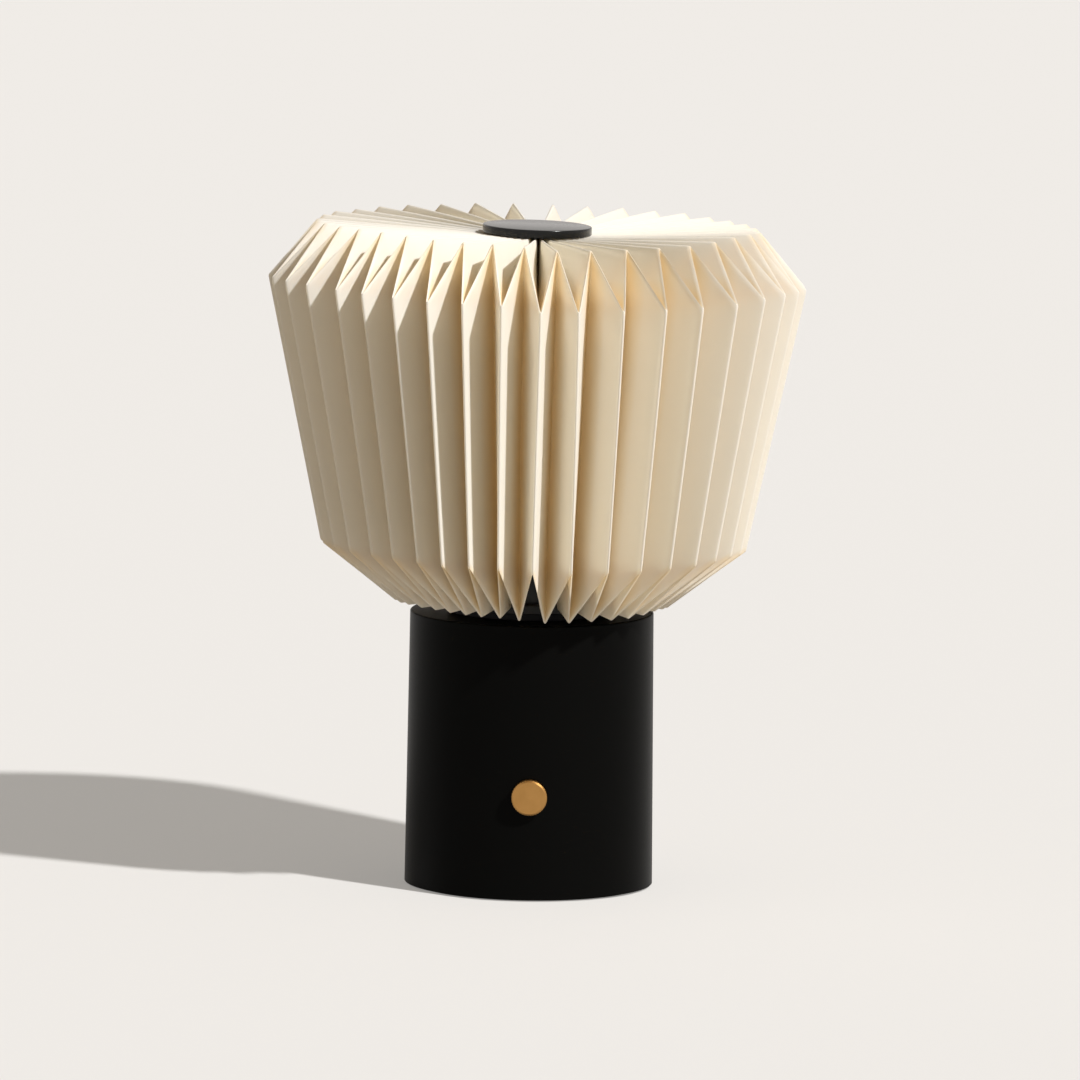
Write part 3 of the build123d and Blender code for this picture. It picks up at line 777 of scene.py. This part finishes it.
@dataclass(frozen=True)
class PlainMetal:
    """Plated or cast metal with a soft mottle."""

    name: str
    colour: Colour
    colour_other: Colour
    roughness: float = 0.35
    grain_mm: float = 0.006
    grain_scale: float = 900.0

    def build(self) -> bpy.types.Material:
        """Make the material.

        Returns:
            The material.
        """
        material, tree, shader = new_surface(self.name)
        height = add_mottled_grain(
            tree,
            shader,
            {"Colour": self.colour, "Other": self.colour_other, "Scale": 120.0, "Amount": 0.8},
            {"Scale": self.grain_scale, "Roughness": self.roughness, "Spread": 0.2},
        )
        shader.inputs["Metallic"].default_value = 1.0
        add_bump(tree, shader, height, self.grain_mm, strength=0.5)
        return material


@dataclass(frozen=True)
class MouldedFinish:
    """Moulded plastic, rubber or film: a mottled colour, a fine grain and a clear coat."""

    name: str
    colour: Colour
    colour_other: Colour
    roughness: float = 0.5
    grain_mm: float = 0.01
    grain_scale: float = 1400.0
    coat: float = 0.0

    def build(self) -> bpy.types.Material:
        """Make the material.

        Returns:
            The material.
        """
        material, tree, shader = new_surface(self.name)
        height = add_mottled_grain(
            tree,
            shader,
            {"Colour": self.colour, "Other": self.colour_other, "Scale": 90.0, "Amount": 0.7},
            {"Scale": self.grain_scale, "Roughness": self.roughness, "Spread": 0.15},
        )
        shader.inputs["Coat Weight"].default_value = self.coat
        add_bump(tree, shader, height, self.grain_mm, strength=0.5)
        return material


# ---- folded paper -----------------------------------------------------------
def read_off(line: tuple[Point, ...], degrees: float) -> float:
    """Read a value off a bent line that is given round the lamp.

    Args:
        line: Its corners, each an angle from the front in degrees and a value.
        degrees: The angle where the value is wanted.

    Returns:
        The value there, or 0 outside the line.
    """
    turned = (degrees + 180.0) % 360.0 - 180.0
    for (a0, v0), (a1, v1) in zip(line, line[1:]):
        if a0 <= turned <= a1:
            return v0 + (v1 - v0) * (turned - a0) / (a1 - a0)
    return 0.0


@dataclass
class PleatLayout:
    """Where the folds of the shade lie.

    Lines along a fold are points of radius and height in millimetres, from the hub over the
    shoulder and the waist to the neck. Even folds run through the low points of the top, the
    shoulder and the waist; odd folds through its high points, the crown and the hem. Angles
    are degrees from the front, positive to the right.

    Attributes:
        pleats: How many pleats the ring has.
        even: An even fold's line.
        odd: An odd fold's line.
        first_fold: Where fold 0 stands.
        zones: Runs of pleats with one pitch, each a count and a pitch in degrees.
        sag: How much higher the folds stand, round the lamp.
        sag_share: How much of the sag each point of a fold takes.
        twist: How far the folds are turned, round the lamp, in degrees.
        twist_share: How much of the twist each point of a fold takes.
        tilt: How far the shade leans to the right, in degrees.
        shift: How far its upper part leans, in degrees.
        shift_from: The height above which it leans.
        fold_half: Half the width of a fold's blunt tip.
        fold_share: The largest share of the room between two folds that such a half takes.
        angle_play: How far a fold's points may be turned by chance, in degrees.
        reach_play: How far they may stand out by chance.
        free_radius: The radius from which a fold has all its play.
        lift_share: How far a point rises as it stands out.
        seed: The start of the random draws.
    """

    pleats: int = 38
    even: tuple[Point, ...] = ((10.2, 241.2), (109.9, 248.1), (86.8, 139.4), (36.0, 142.8))
    odd: tuple[Point, ...] = ((10.2, 266.2), (90.8, 270.6), (56.1, 115.7), (36.0, 118.0))
    first_fold: float = 8.7
    zones: tuple[Point, ...] = ((8.0, 9.57), (9.5, 9.6), (13.5, 10.06), (7.0, 8.06))
    sag: tuple[Point, ...] = (
        (-90.0, 0.3), (-60.0, 1.8), (-45.0, 2.1), (-25.0, 1.0), (-6.0, 0.8), (1.0, -1.4),
        (20.0, -0.6), (45.0, 0.2), (64.0, 2.1), (78.0, 1.2), (90.0, 0.1),
    )
    sag_share: tuple[float, ...] = (0.0, 1.0, 0.7, 0.0)
    twist: tuple[Point, ...] = (
        (-130.0, 0.0), (-90.0, -1.0), (-30.0, -1.0), (-19.0, -3.0), (-3.0, -3.0), (5.0, 1.3),
        (13.0, 3.9), (42.0, 4.1), (60.0, 2.5), (90.0, 1.0), (130.0, 0.0),
    )
    twist_share: tuple[float, ...] = (0.0, 0.0, 0.6, 1.0)
    tilt: float = 0.8
    shift: float = 0.2
    shift_from: float = 140.0
    fold_half: float = 0.3
    fold_share: float = 0.36
    angle_play: float = 0.25
    reach_play: float = 0.4
    free_radius: float = 90.0
    lift_share: float = 0.4
    seed: int = 11

    def __post_init__(self) -> None:
        """Draw each fold's small departures once."""
        rng = random.Random(self.seed)

        def draw(most: float) -> list[list[float]]:
            """Draw a value up to a limit for each point of each fold."""
            return [[rng.uniform(-1, 1) * most for _ in self.even] for _ in range(self.folds)]

        self.turns = draw(self.angle_play)
        self.moves = draw(self.reach_play)

    @property
    def folds(self) -> int:
        """How many folds the ring has."""
        return 2 * self.pleats

    def angle(self, fold: int) -> float:
        """Where a fold stands round the lamp.

        Args:
            fold: The fold's number, counted to the right from the one near the front.

        Returns:
            Its angle in degrees.
        """
        pleats_left = (fold / 2.0) % self.pleats
        scale = 360.0 / sum(count * pitch for count, pitch in self.zones)
        angle = self.first_fold
        for count, pitch in self.zones:
            angle += min(pleats_left, count) * pitch * scale
            pleats_left = max(0.0, pleats_left - count)
        return angle

    def nearest_inner(self, degrees: float) -> int:
        """The fold nearest to an angle among those that point inwards on the side."""
        odd = range(1, self.folds, 2)
        return min(odd, key=lambda fold: abs((self.angle(fold) - degrees + 180) % 360 - 180))

    def outer(self, fold: int, span: int) -> bool:
        """Whether a fold shows its tip on the outside in a span."""
        return (fold % 2 == 0) == (span == 1)

    def place(self, fold: int, span: int, share: float, side: int = 0) -> Vector:
        """A point on a fold.

        Args:
            fold: The fold's number.
            span: 0 for the top, 1 for the side and 2 for the part under it.
            share: How far along that span, 0 to 1.
            side: 0 for the fold itself, -1 or 1 for an edge of its blunt tip.

        Returns:
            The point, in millimetres.
        """
        fold %= self.folds
        line = self.odd if fold % 2 else self.even
        ends = (span, span + 1)

        def mixed(values: tuple[float, ...] | list[float]) -> float:
            """A value between the two ends of the span."""
            return values[ends[0]] + (values[ends[1]] - values[ends[0]]) * share

        radius = mixed([point[0] for point in line])
        height = mixed([point[1] for point in line])
        free = min(1.0, radius / self.free_radius)
        own = self.angle(fold)
        height += read_off(self.sag, own) * mixed(self.sag_share)
        angle = own + read_off(self.twist, own) * mixed(self.twist_share)
        angle = math.radians(angle + mixed(self.turns[fold]) * free)
        move = mixed(self.moves[fold]) * free
        room = radius * math.pi / self.folds
        edge = side * min(self.fold_half, self.fold_share * room)
        x = (radius + move) * math.sin(angle) + edge * math.cos(angle)
        y = -(radius + move) * math.cos(angle) + edge * math.sin(angle)
        height += self.lift_share * move - math.tan(math.radians(self.tilt)) * x
        x += math.tan(math.radians(self.shift)) * max(0.0, height - self.shift_from)
        return Vector((x, y, height))


@dataclass
class FoldedShade:
    """The ring of folded paper, as one closed sheet with crisp folds, paler at their tips and
    turns.

    Attributes:
        layout: Where its folds lie.
        rows: How many rows of faces each span has, from the top down.
        sheet: The card's thickness, in millimetres.
        support: Where the columns beside a fold stand, as a share of a panel's width.
        row_support: Where the rows beside a turn stand, as a share of a span.
        bulge_in: How far a panel may bow inwards, in millimetres.
        bulge_out: How far it may bow outwards.
        valley_from: The share of a panel's width from which it darkens towards its valley.
        valley_most: How strong the dark tone is in the valley.
        tip_wear_and_highlight: How much paler the folds' tips are made, for wear and a painted
            highlight.
        turn_wear_and_highlight: How much paler the turns at the shoulder and the waist are made,
            for wear and a painted highlight.
        merge: The distance under which points are merged, in metres.
        sharp_from: The angle from which an edge stays sharp, in degrees.
        seed: The start of the random draws.
    """

    layout: PleatLayout
    rows: tuple[int, ...] = (9, 9, 6)
    sheet: float = 0.4
    support: float = 0.025
    row_support: float = 0.014
    bulge_in: float = 0.25
    bulge_out: float = 0.45
    # valley_from: The share of a panel's width from which painted shade darkens it towards its
    # valley.
    valley_from: float = 0.35
    # valley_most: How strong the painted shade is in the valley.
    valley_most: float = 0.85
    tip_wear_and_highlight: float = 0.6
    turn_wear_and_highlight: float = 0.5
    merge: float = 2e-6
    sharp_from: float = 60.0
    seed: int = 5

    def stations(self) -> list[tuple[int, float]]:
        """Rows along the sheet.

        Returns:
            Each row's span and its share of that span.
        """
        found: list[tuple[int, float]] = []
        for span, count in enumerate(self.rows):
            shares = [i / count for i in range(count)]
            shares.insert(1, self.row_support)
            shares.append(1.0 - self.row_support)
            found += [(span, share) for share in shares]
        found.append((len(self.rows) - 1, 1.0))
        return found

    def columns(self) -> list[float]:
        """Columns across a panel, from one fold to the next, as shares of its width."""
        return [0.0, self.support, 0.5, 1.0 - self.support, 1.0]

    def build(self) -> bpy.types.Object:
        """Fold the sheet, close its ring and give it its thickness.

        Returns:
            The folded paper.
        """
        rng = random.Random(self.seed)
        layout, rows, columns = self.layout, self.stations(), self.columns()
        across = layout.folds * len(columns)
        bulges = [
            [rng.uniform(-self.bulge_in, self.bulge_out) for _ in self.rows]
            for _ in range(layout.folds)
        ]
        piece = add_grid("folded_paper_shade", across, len(rows) - 1)
        mesh = piece.data
        valley = mesh.attributes.new("valley", "FLOAT", "POINT")
        crease = mesh.attributes.new("crease", "FLOAT", "POINT")
        for vertex in mesh.vertices:
            column = round((vertex.co.x + 0.5) * across) % across
            row = round((vertex.co.y + 0.5) * (len(rows) - 1))
            span, share = rows[row]
            fold, at = divmod(column, len(columns))
            part = columns[at]
            start = layout.place(fold, span, share, 1)
            stop = layout.place(fold + 1, span, share, -1)
            point = start.lerp(stop, part)
            if part == 0.5:
                face = (stop - start).cross(Vector((0, 0, 1))).normalized()
                point += face * bulges[fold][span] * math.sin(math.pi * share)
            vertex.co = point * MM
            # Painted shade mask: 0 towards a panel's outer fold, rising towards the valley, where
            # the shade falls.
            inward = part if layout.outer(fold, span) else 1.0 - part
            valley_shade = max(0.0, inward - self.valley_from) / (1.0 - self.valley_from)
            valley.data[vertex.index].value = self.valley_most * valley_shade**2
            # Paleness at fold tips and turns: partly wear, partly a painted highlight.
            tip = part in (0.0, 1.0) and inward == 0.0
            turn = span > 0 and share == 0.0
            crease.data[vertex.index].value = self.tip_wear_and_highlight if tip else self.turn_wear_and_highlight * turn
        face_outwards(piece, self.merge)
        apply_modifier(piece, "SUBSURF", levels=1, render_levels=1)
        apply_modifier(piece, "SOLIDIFY", thickness=self.sheet * MM, offset=0.0)
        smooth(piece, self.sharp_from)
        return piece

    def fit(self, material: bpy.types.Material) -> bpy.types.Object:
        """Build the paper, dress it and put it in the place of the four sheets.

        Args:
            material: The paper.

        Returns:
            The folded paper.
        """
        piece = self.build()
        dress(piece, material)
        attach(piece, "shade")
        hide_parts("shade_right", "shade_back", "shade_left", "shade_front")
        return piece


@dataclass
class JointTapes:
    """Strips of thin tape, each folded round the inside of a fold where two sheets meet.

    Attributes:
        layout: Where the shade's folds lie.
        angles: Where the joints stand, in degrees from the front.
        width: How wide each wing of a strip is, in millimetres.
        thickness: The tape's thickness.
        gap: How far the tape stands off the middle of the card.
        wing_angle: Half the angle between a fold's panels, in degrees.
        start: Where a strip starts on the side, as a share of its height.
        stop: Where it stops.
        cells: How many cells a strip has across.
        steps: How many it has along.
        sharp_from: The angle from which an edge stays sharp, in degrees.
    """

    layout: PleatLayout
    angles: tuple[float, ...] = (47.4, 142.1, 227.4, 322.1)
    width: float = 5.0
    thickness: float = 0.15
    gap: float = 0.32
    wing_angle: float = 20.0
    start: float = 0.12
    stop: float = 0.63
    cells: int = 4
    steps: int = 16
    sharp_from: float = 40.0

    def strip(self, number: int, degrees: float) -> bpy.types.Object:
        """One strip of tape.

        Args:
            number: The strip's number, for its name.
            degrees: The angle of the joint that it covers.

        Returns:
            The strip.
        """
        fold = self.layout.nearest_inner(degrees)
        stand_off = self.gap / math.sin(math.radians(self.wing_angle))
        piece = add_grid(f"joint_tape_{number}", self.cells, self.steps)
        for vertex in piece.data.vertices:
            side = round(vertex.co.x * self.cells) / (self.cells / 2)
            along = self.start + (self.stop - self.start) * (vertex.co.y + 0.5)
            tip = self.layout.place(fold, 1, along)
            wings = [
                (self.layout.place(fold + way, 1, along) - tip).normalized() for way in (-1, 1)
            ]
            inward = (wings[0] + wings[1]).normalized() * -1
            inward.z = 0.0
            wing = wings[0] if side < 0 else wings[1]
            point = tip + inward * stand_off + wing * abs(side) * self.width
            vertex.co = point * MM
        face_outwards(piece)
        apply_modifier(piece, "SOLIDIFY", thickness=self.thickness * MM, offset=0.0)
        smooth(piece, self.sharp_from)
        return piece

    def fit(self, material: bpy.types.Material) -> list[bpy.types.Object]:
        """Build the strips and put them in the place of the plain tapes.

        Args:
            material: The tape.

        Returns:
            The strips.
        """
        strips = [self.strip(i, angle) for i, angle in enumerate(self.angles, start=1)]
        for piece in strips:
            dress(piece, material)
            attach(piece, "shade")
            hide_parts("seam_tape")
        return strips


# ---- cap --------------------------------------------------------------------
@dataclass
class RoundCap:
    """The flat black cap: a disc with a rounded rim and a recess for the hub.

    Attributes:
        radius: The disc's radius, in millimetres.
        edge: The size of its rim's rounding, on top.
        edge_steps: How many faces that rounding has.
        under_edge: The size of the chamfer underneath.
        recess_r: The recess's radius.
        recess_deep: Its depth.
        tilt: How far the cap lies askew, in degrees.
        sharp_from: The angle from which an edge stays sharp, in degrees.
    """

    radius: float = 22.25
    edge: float = 0.5
    edge_steps: int = 4
    under_edge: float = 0.4
    recess_r: float = 10.3
    recess_deep: float = 0.55
    tilt: float = 1.3
    sharp_from: float = 30.0

    def build(self) -> bpy.types.Object:
        """Turn the disc, round its rim, sink the recess and let it lie a little askew.

        Returns:
            The cap.
        """
        low, high = (corner[2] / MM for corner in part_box("cap"))
        piece = add_disc("round_cap", self.radius, low, high)
        rims = ((high, self.edge, self.edge_steps), (low, self.under_edge, 1))
        for height, width, steps in rims:
            select_faces(piece, lambda face: abs(face.center.z - height * MM) < TOUCH)
            bpy.ops.mesh.region_to_loop()
            bpy.ops.mesh.bevel(offset=width * MM, segments=steps)
            bpy.ops.object.mode_set(mode="OBJECT")
        select_faces(piece, lambda face: face.normal.z < LOOKS_DOWN)
        bpy.ops.mesh.inset(thickness=(self.radius - self.under_edge - self.recess_r) * MM)
        bpy.ops.mesh.extrude_region_move(
            TRANSFORM_OT_translate={"value": (0.0, 0.0, self.recess_deep * MM)}
        )
        bpy.ops.object.mode_set(mode="OBJECT")
        middle = Vector((0.0, 0.0, low * MM))
        turn = Matrix.Rotation(math.radians(self.tilt), 4, "Y")
        piece.data.transform(Matrix.Translation(middle) @ turn @ Matrix.Translation(-middle))
        face_outwards(piece)
        smooth(piece, self.sharp_from)
        return piece

    def fit(self, material: bpy.types.Material) -> bpy.types.Object:
        """Build the cap, dress it and put it in its place.

        Args:
            material: The black paint.

        Returns:
            The cap.
        """
        piece = self.build()
        dress(piece, material)
        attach(piece, "cap")
        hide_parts("cap")
        return piece


# ---- studio -----------------------------------------------------------------
def seen_share(tree: bpy.types.NodeTree) -> bpy.types.NodeSocket:
    """One for rays of the eye, of gloss and of clear glass, nothing for scattered light.

    Args:
        tree: The tree of a world or a material.

    Returns:
        The share.
    """
    path = tree.nodes.new("ShaderNodeLightPath")
    clear = add_maths(tree, "SUBTRACT", clamp=True)
    gloss = add_maths(tree, "MAXIMUM")
    seen = add_maths(tree, "MAXIMUM")
    link = tree.links.new
    link(path.outputs["Is Transmission Ray"], clear.inputs[0])
    link(path.outputs["Is Diffuse Ray"], clear.inputs[1])
    link(path.outputs["Is Camera Ray"], gloss.inputs[0])
    link(path.outputs["Is Glossy Ray"], gloss.inputs[1])
    link(gloss.outputs["Value"], seen.inputs[0])
    link(clear.outputs["Value"], seen.inputs[1])
    return seen.outputs["Value"]


@dataclass
class Studio:
    """Floor, camera, world and sun.

    Attributes:
        distance: From the camera to its aim, in metres.
        elevation: How high the camera looks from, in degrees.
        roll: How far the camera is turned about its view, in degrees.
        frame_width: How much the view spans at its aim, in metres.
        sensor_mm: The camera's sensor width, in millimetres.
        view_end: How far the camera sees, in metres.
        aim: The point that the camera looks at.
        floor_size: The floor's side, in metres.
        floor: The floor's colour, as seen.
        floor_lift: The light that the floor adds for seen rays only.
        floor_bounce: The floor's colour for light that it throws on the lamp.
        backdrop: The colour behind the lamp.
        sky: The colour of the light from all sides.
        sky_strength: Its strength.
        sun_strength: The sun's strength.
        sun_width: The sun's angle, in degrees.
        sun_azimuth: Where the sun stands, in degrees from the front, positive to the right.
        sun_height: How high it stands, in degrees.
        sun_away: How far off its marker is drawn, in metres.
        sun_colour: Its colour.
    """

    distance: float = 4.5
    elevation: float = 7.3
    roll: float = 0.8
    frame_width: float = 0.4414
    sensor_mm: float = 36.0
    view_end: float = 50.0
    aim: Place = (0.0029, 0.0, 0.1416)
    floor_size: float = 14.0
    floor: Colour = (0.50, 0.49, 0.48)
    floor_lift: Colour = (0.27, 0.262, 0.25)
    floor_bounce: Colour = (0.50, 0.46, 0.40)
    backdrop: Colour = (0.89, 0.855, 0.82)
    sky: Colour = (1.0, 0.90, 0.78)
    sky_strength: float = 0.2
    sun_strength: float = 4.6
    sun_width: float = 2.5
    sun_azimuth: float = 50.5
    sun_height: float = 42.0
    sun_away: float = 3.0
    sun_colour: Colour = (0.99, 0.985, 0.975)

    def camera(self) -> bpy.types.Object:
        """Set up a long lens from the front, a little above.

        Returns:
            The camera.
        """
        data = bpy.data.cameras.new("camera")
        data.sensor_width = self.sensor_mm
        data.lens = data.sensor_width * self.distance / self.frame_width
        data.clip_end = self.view_end
        camera = bpy.data.objects.new("camera", data)
        bpy.context.scene.collection.objects.link(camera)
        up = math.radians(self.elevation)
        aim = Vector(self.aim)
        camera.location = aim + Vector((0.0, -math.cos(up), math.sin(up))) * self.distance
        look = (aim - camera.location).to_track_quat("-Z", "Y").to_matrix().to_4x4()
        turn = Matrix.Rotation(math.radians(self.roll), 4, "Z")
        camera.matrix_world = Matrix.Translation(camera.location) @ look @ turn
        bpy.context.scene.camera = camera
        return camera

    def sun(self) -> bpy.types.Object:
        """Set up the sun, high on the right.

        Returns:
            The sun.
        """
        data = bpy.data.lights.new("sun", "SUN")
        data.energy = self.sun_strength
        data.angle = math.radians(self.sun_width)
        data.color = self.sun_colour
        sun = bpy.data.objects.new("sun", data)
        bpy.context.scene.collection.objects.link(sun)
        round_to, up = math.radians(self.sun_azimuth), math.radians(self.sun_height)
        level = math.cos(up)
        way = Vector((math.sin(round_to) * level, -math.cos(round_to) * level, math.sin(up)))
        sun.location = way * self.sun_away
        sun.rotation_euler = (-way).to_track_quat("-Z", "Y").to_euler()
        return sun

    def world(self) -> None:
        """Give plain light on the object, and show the pale backdrop to eye, gloss and glass."""
        world = bpy.data.worlds.new("studio")
        bpy.context.scene.world = world
        world.use_nodes = True
        tree = world.node_tree
        light = tree.nodes["Background"]
        light.inputs["Color"].default_value = (*self.sky, 1.0)
        light.inputs["Strength"].default_value = self.sky_strength
        shown = tree.nodes.new("ShaderNodeBackground")
        shown.inputs["Color"].default_value = (*self.backdrop, 1.0)
        mix = tree.nodes.new("ShaderNodeMixShader")
        tree.links.new(seen_share(tree), mix.inputs[0])
        tree.links.new(light.outputs["Background"], mix.inputs[1])
        tree.links.new(shown.outputs["Background"], mix.inputs[2])
        tree.links.new(mix.outputs["Shader"], tree.nodes["World Output"].inputs["Surface"])

    def floor_sheet(self) -> bpy.types.Object:
        """Lay a plain pale floor, clear from below, with its shadows lightened for the eye.

        Returns:
            The floor.
        """
        deselect_all()
        bpy.ops.mesh.primitive_plane_add(size=self.floor_size, location=(0, 0, 0))
        sheet = bpy.context.object
        sheet.name = "floor_sheet"
        material, tree, shader = new_surface("pale_floor")
        tone = add_mix(tree, first=self.floor_bounce, second=self.floor)
        lift = add_mix(tree, first=(0.0, 0.0, 0.0), second=self.floor_lift)
        below = tree.nodes.new("ShaderNodeNewGeometry")
        clear = tree.nodes.new("ShaderNodeBsdfTransparent")
        side = tree.nodes.new("ShaderNodeMixShader")
        seen = seen_share(tree)
        link = tree.links.new
        link(seen, tone.inputs["Factor"])
        link(seen, lift.inputs["Factor"])
        link(tone.outputs["Result"], shader.inputs["Base Color"])
        link(lift.outputs["Result"], shader.inputs["Emission Color"])
        shader.inputs["Emission Strength"].default_value = 1.0
        shader.inputs["Roughness"].default_value = 0.9
        shader.inputs["Specular IOR Level"].default_value = 0.1
        link(below.outputs["Backfacing"], side.inputs[0])
        link(shader.outputs["BSDF"], side.inputs[1])
        link(clear.outputs["BSDF"], side.inputs[2])
        link(side.outputs["Shader"], tree.nodes["Material Output"].inputs["Surface"])
        dress(sheet, material)
        return sheet

    def build(self) -> None:
        """Set the whole stage."""
        bpy.context.scene.view_settings.view_transform = "Standard"
        self.camera()
        self.world()
        self.floor_sheet()
        self.sun()


# ---- the lamp ---------------------------------------------------------------
KNOB_CENTRE: Place = (0.0, 0.0, 0.043)


def finishes() -> dict[str, bpy.types.Material]:
    """Make every finish.

    Returns:
        The materials, by the slot that each stands for.
    """
    kinds = [
        PaintFinish("black_paint"),
        MouldedFinish(
            "black_plastic", (0.012, 0.012, 0.012), (0.018, 0.018, 0.018), roughness=0.55
        ),
        TurnedMetal(
            "brass",
            (0.44, 0.235, 0.075),
            (0.38, 0.20, 0.06),
            roughness=0.34,
            centre=KNOB_CENTRE,
            about_y=True,
        ),
        PaperFinish(),
        MouldedFinish("paper_tape", (0.86, 0.84, 0.78), (0.82, 0.79, 0.72), roughness=0.8),
        OpalFinish("opal"),
        MouldedFinish(
            "rubber", (0.014, 0.014, 0.014), (0.02, 0.02, 0.02), roughness=0.75, grain_mm=0.02
        ),
        PlainMetal(
            "iron",
            (0.12, 0.115, 0.11),
            (0.08, 0.075, 0.07),
            roughness=0.6,
            grain_mm=0.05,
            grain_scale=350.0,
        ),
        PlainMetal("zinc_steel", (0.55, 0.55, 0.54), (0.47, 0.47, 0.47), roughness=0.32),
        PlainMetal(
            "nickel", (0.72, 0.69, 0.64), (0.66, 0.63, 0.59), roughness=0.2, grain_mm=0.002
        ),
        TurnedMetal("aluminium", (0.02, 0.02, 0.021), (0.014, 0.014, 0.015), roughness=0.5),
        MouldedFinish(
            "cell_wrap",
            (0.03, 0.12, 0.17),
            (0.025, 0.10, 0.14),
            roughness=0.28,
            grain_mm=0.002,
            coat=0.3,
        ),
        MouldedFinish(
            "board_green",
            (0.01, 0.06, 0.025),
            (0.012, 0.07, 0.03),
            roughness=0.3,
            grain_mm=0.004,
            coat=0.4,
        ),
        MouldedFinish(
            "led_white", (0.84, 0.84, 0.82), (0.8, 0.8, 0.78), roughness=0.4, grain_mm=0.002
        ),
        MouldedFinish(
            "phosphor",
            (0.85, 0.62, 0.10),
            (0.8, 0.56, 0.08),
            roughness=0.25,
            grain_mm=0.002,
            coat=0.6,
        ),
        MouldedFinish(
            "clear_plastic",
            (0.7, 0.73, 0.75),
            (0.66, 0.7, 0.72),
            roughness=0.25,
            grain_mm=0.002,
            coat=0.5,
        ),
        MouldedFinish("nylon", (0.75, 0.73, 0.66), (0.7, 0.68, 0.6), roughness=0.5),
    ]
    return {kind.name: kind.build() for kind in kinds}


def main() -> None:
    """Build the lamp's looks piece by piece."""
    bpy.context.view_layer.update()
    Studio().build()
    materials = finishes()
    for part in frame["record"]["subparts"]:
        dress(bpy.data.objects[part["node"]], materials[part["material_slot"]])
        LOG.info("%s: %s", part["node"], part["material_slot"])
    # The hub is brown: a painted shade, so the dark slit under the cap looks orange-brown like
    # the light between the folds.
    hub = MouldedFinish(
        "hub_painted_shade", (0.30, 0.15, 0.055), (0.26, 0.13, 0.045), roughness=0.6
    )
    dress(bpy.data.objects["shade_hub"], hub.build())
    layout = PleatLayout()
    shade = FoldedShade(layout).fit(materials["folded_paper"])
    LOG.info("folded paper: %d faces", len(shade.data.polygons))
    tapes = JointTapes(layout).fit(materials["paper_tape"])
    LOG.info("joint tapes: %d strips", len(tapes))
    cap = RoundCap().fit(PaintFinish("cap_paint", roughness=0.2, specular=0.3).build())
    LOG.info("cap: %d faces", len(cap.data.polygons))


if __name__ == "__main__":
    logging.basicConfig(level=logging.INFO)
    main()
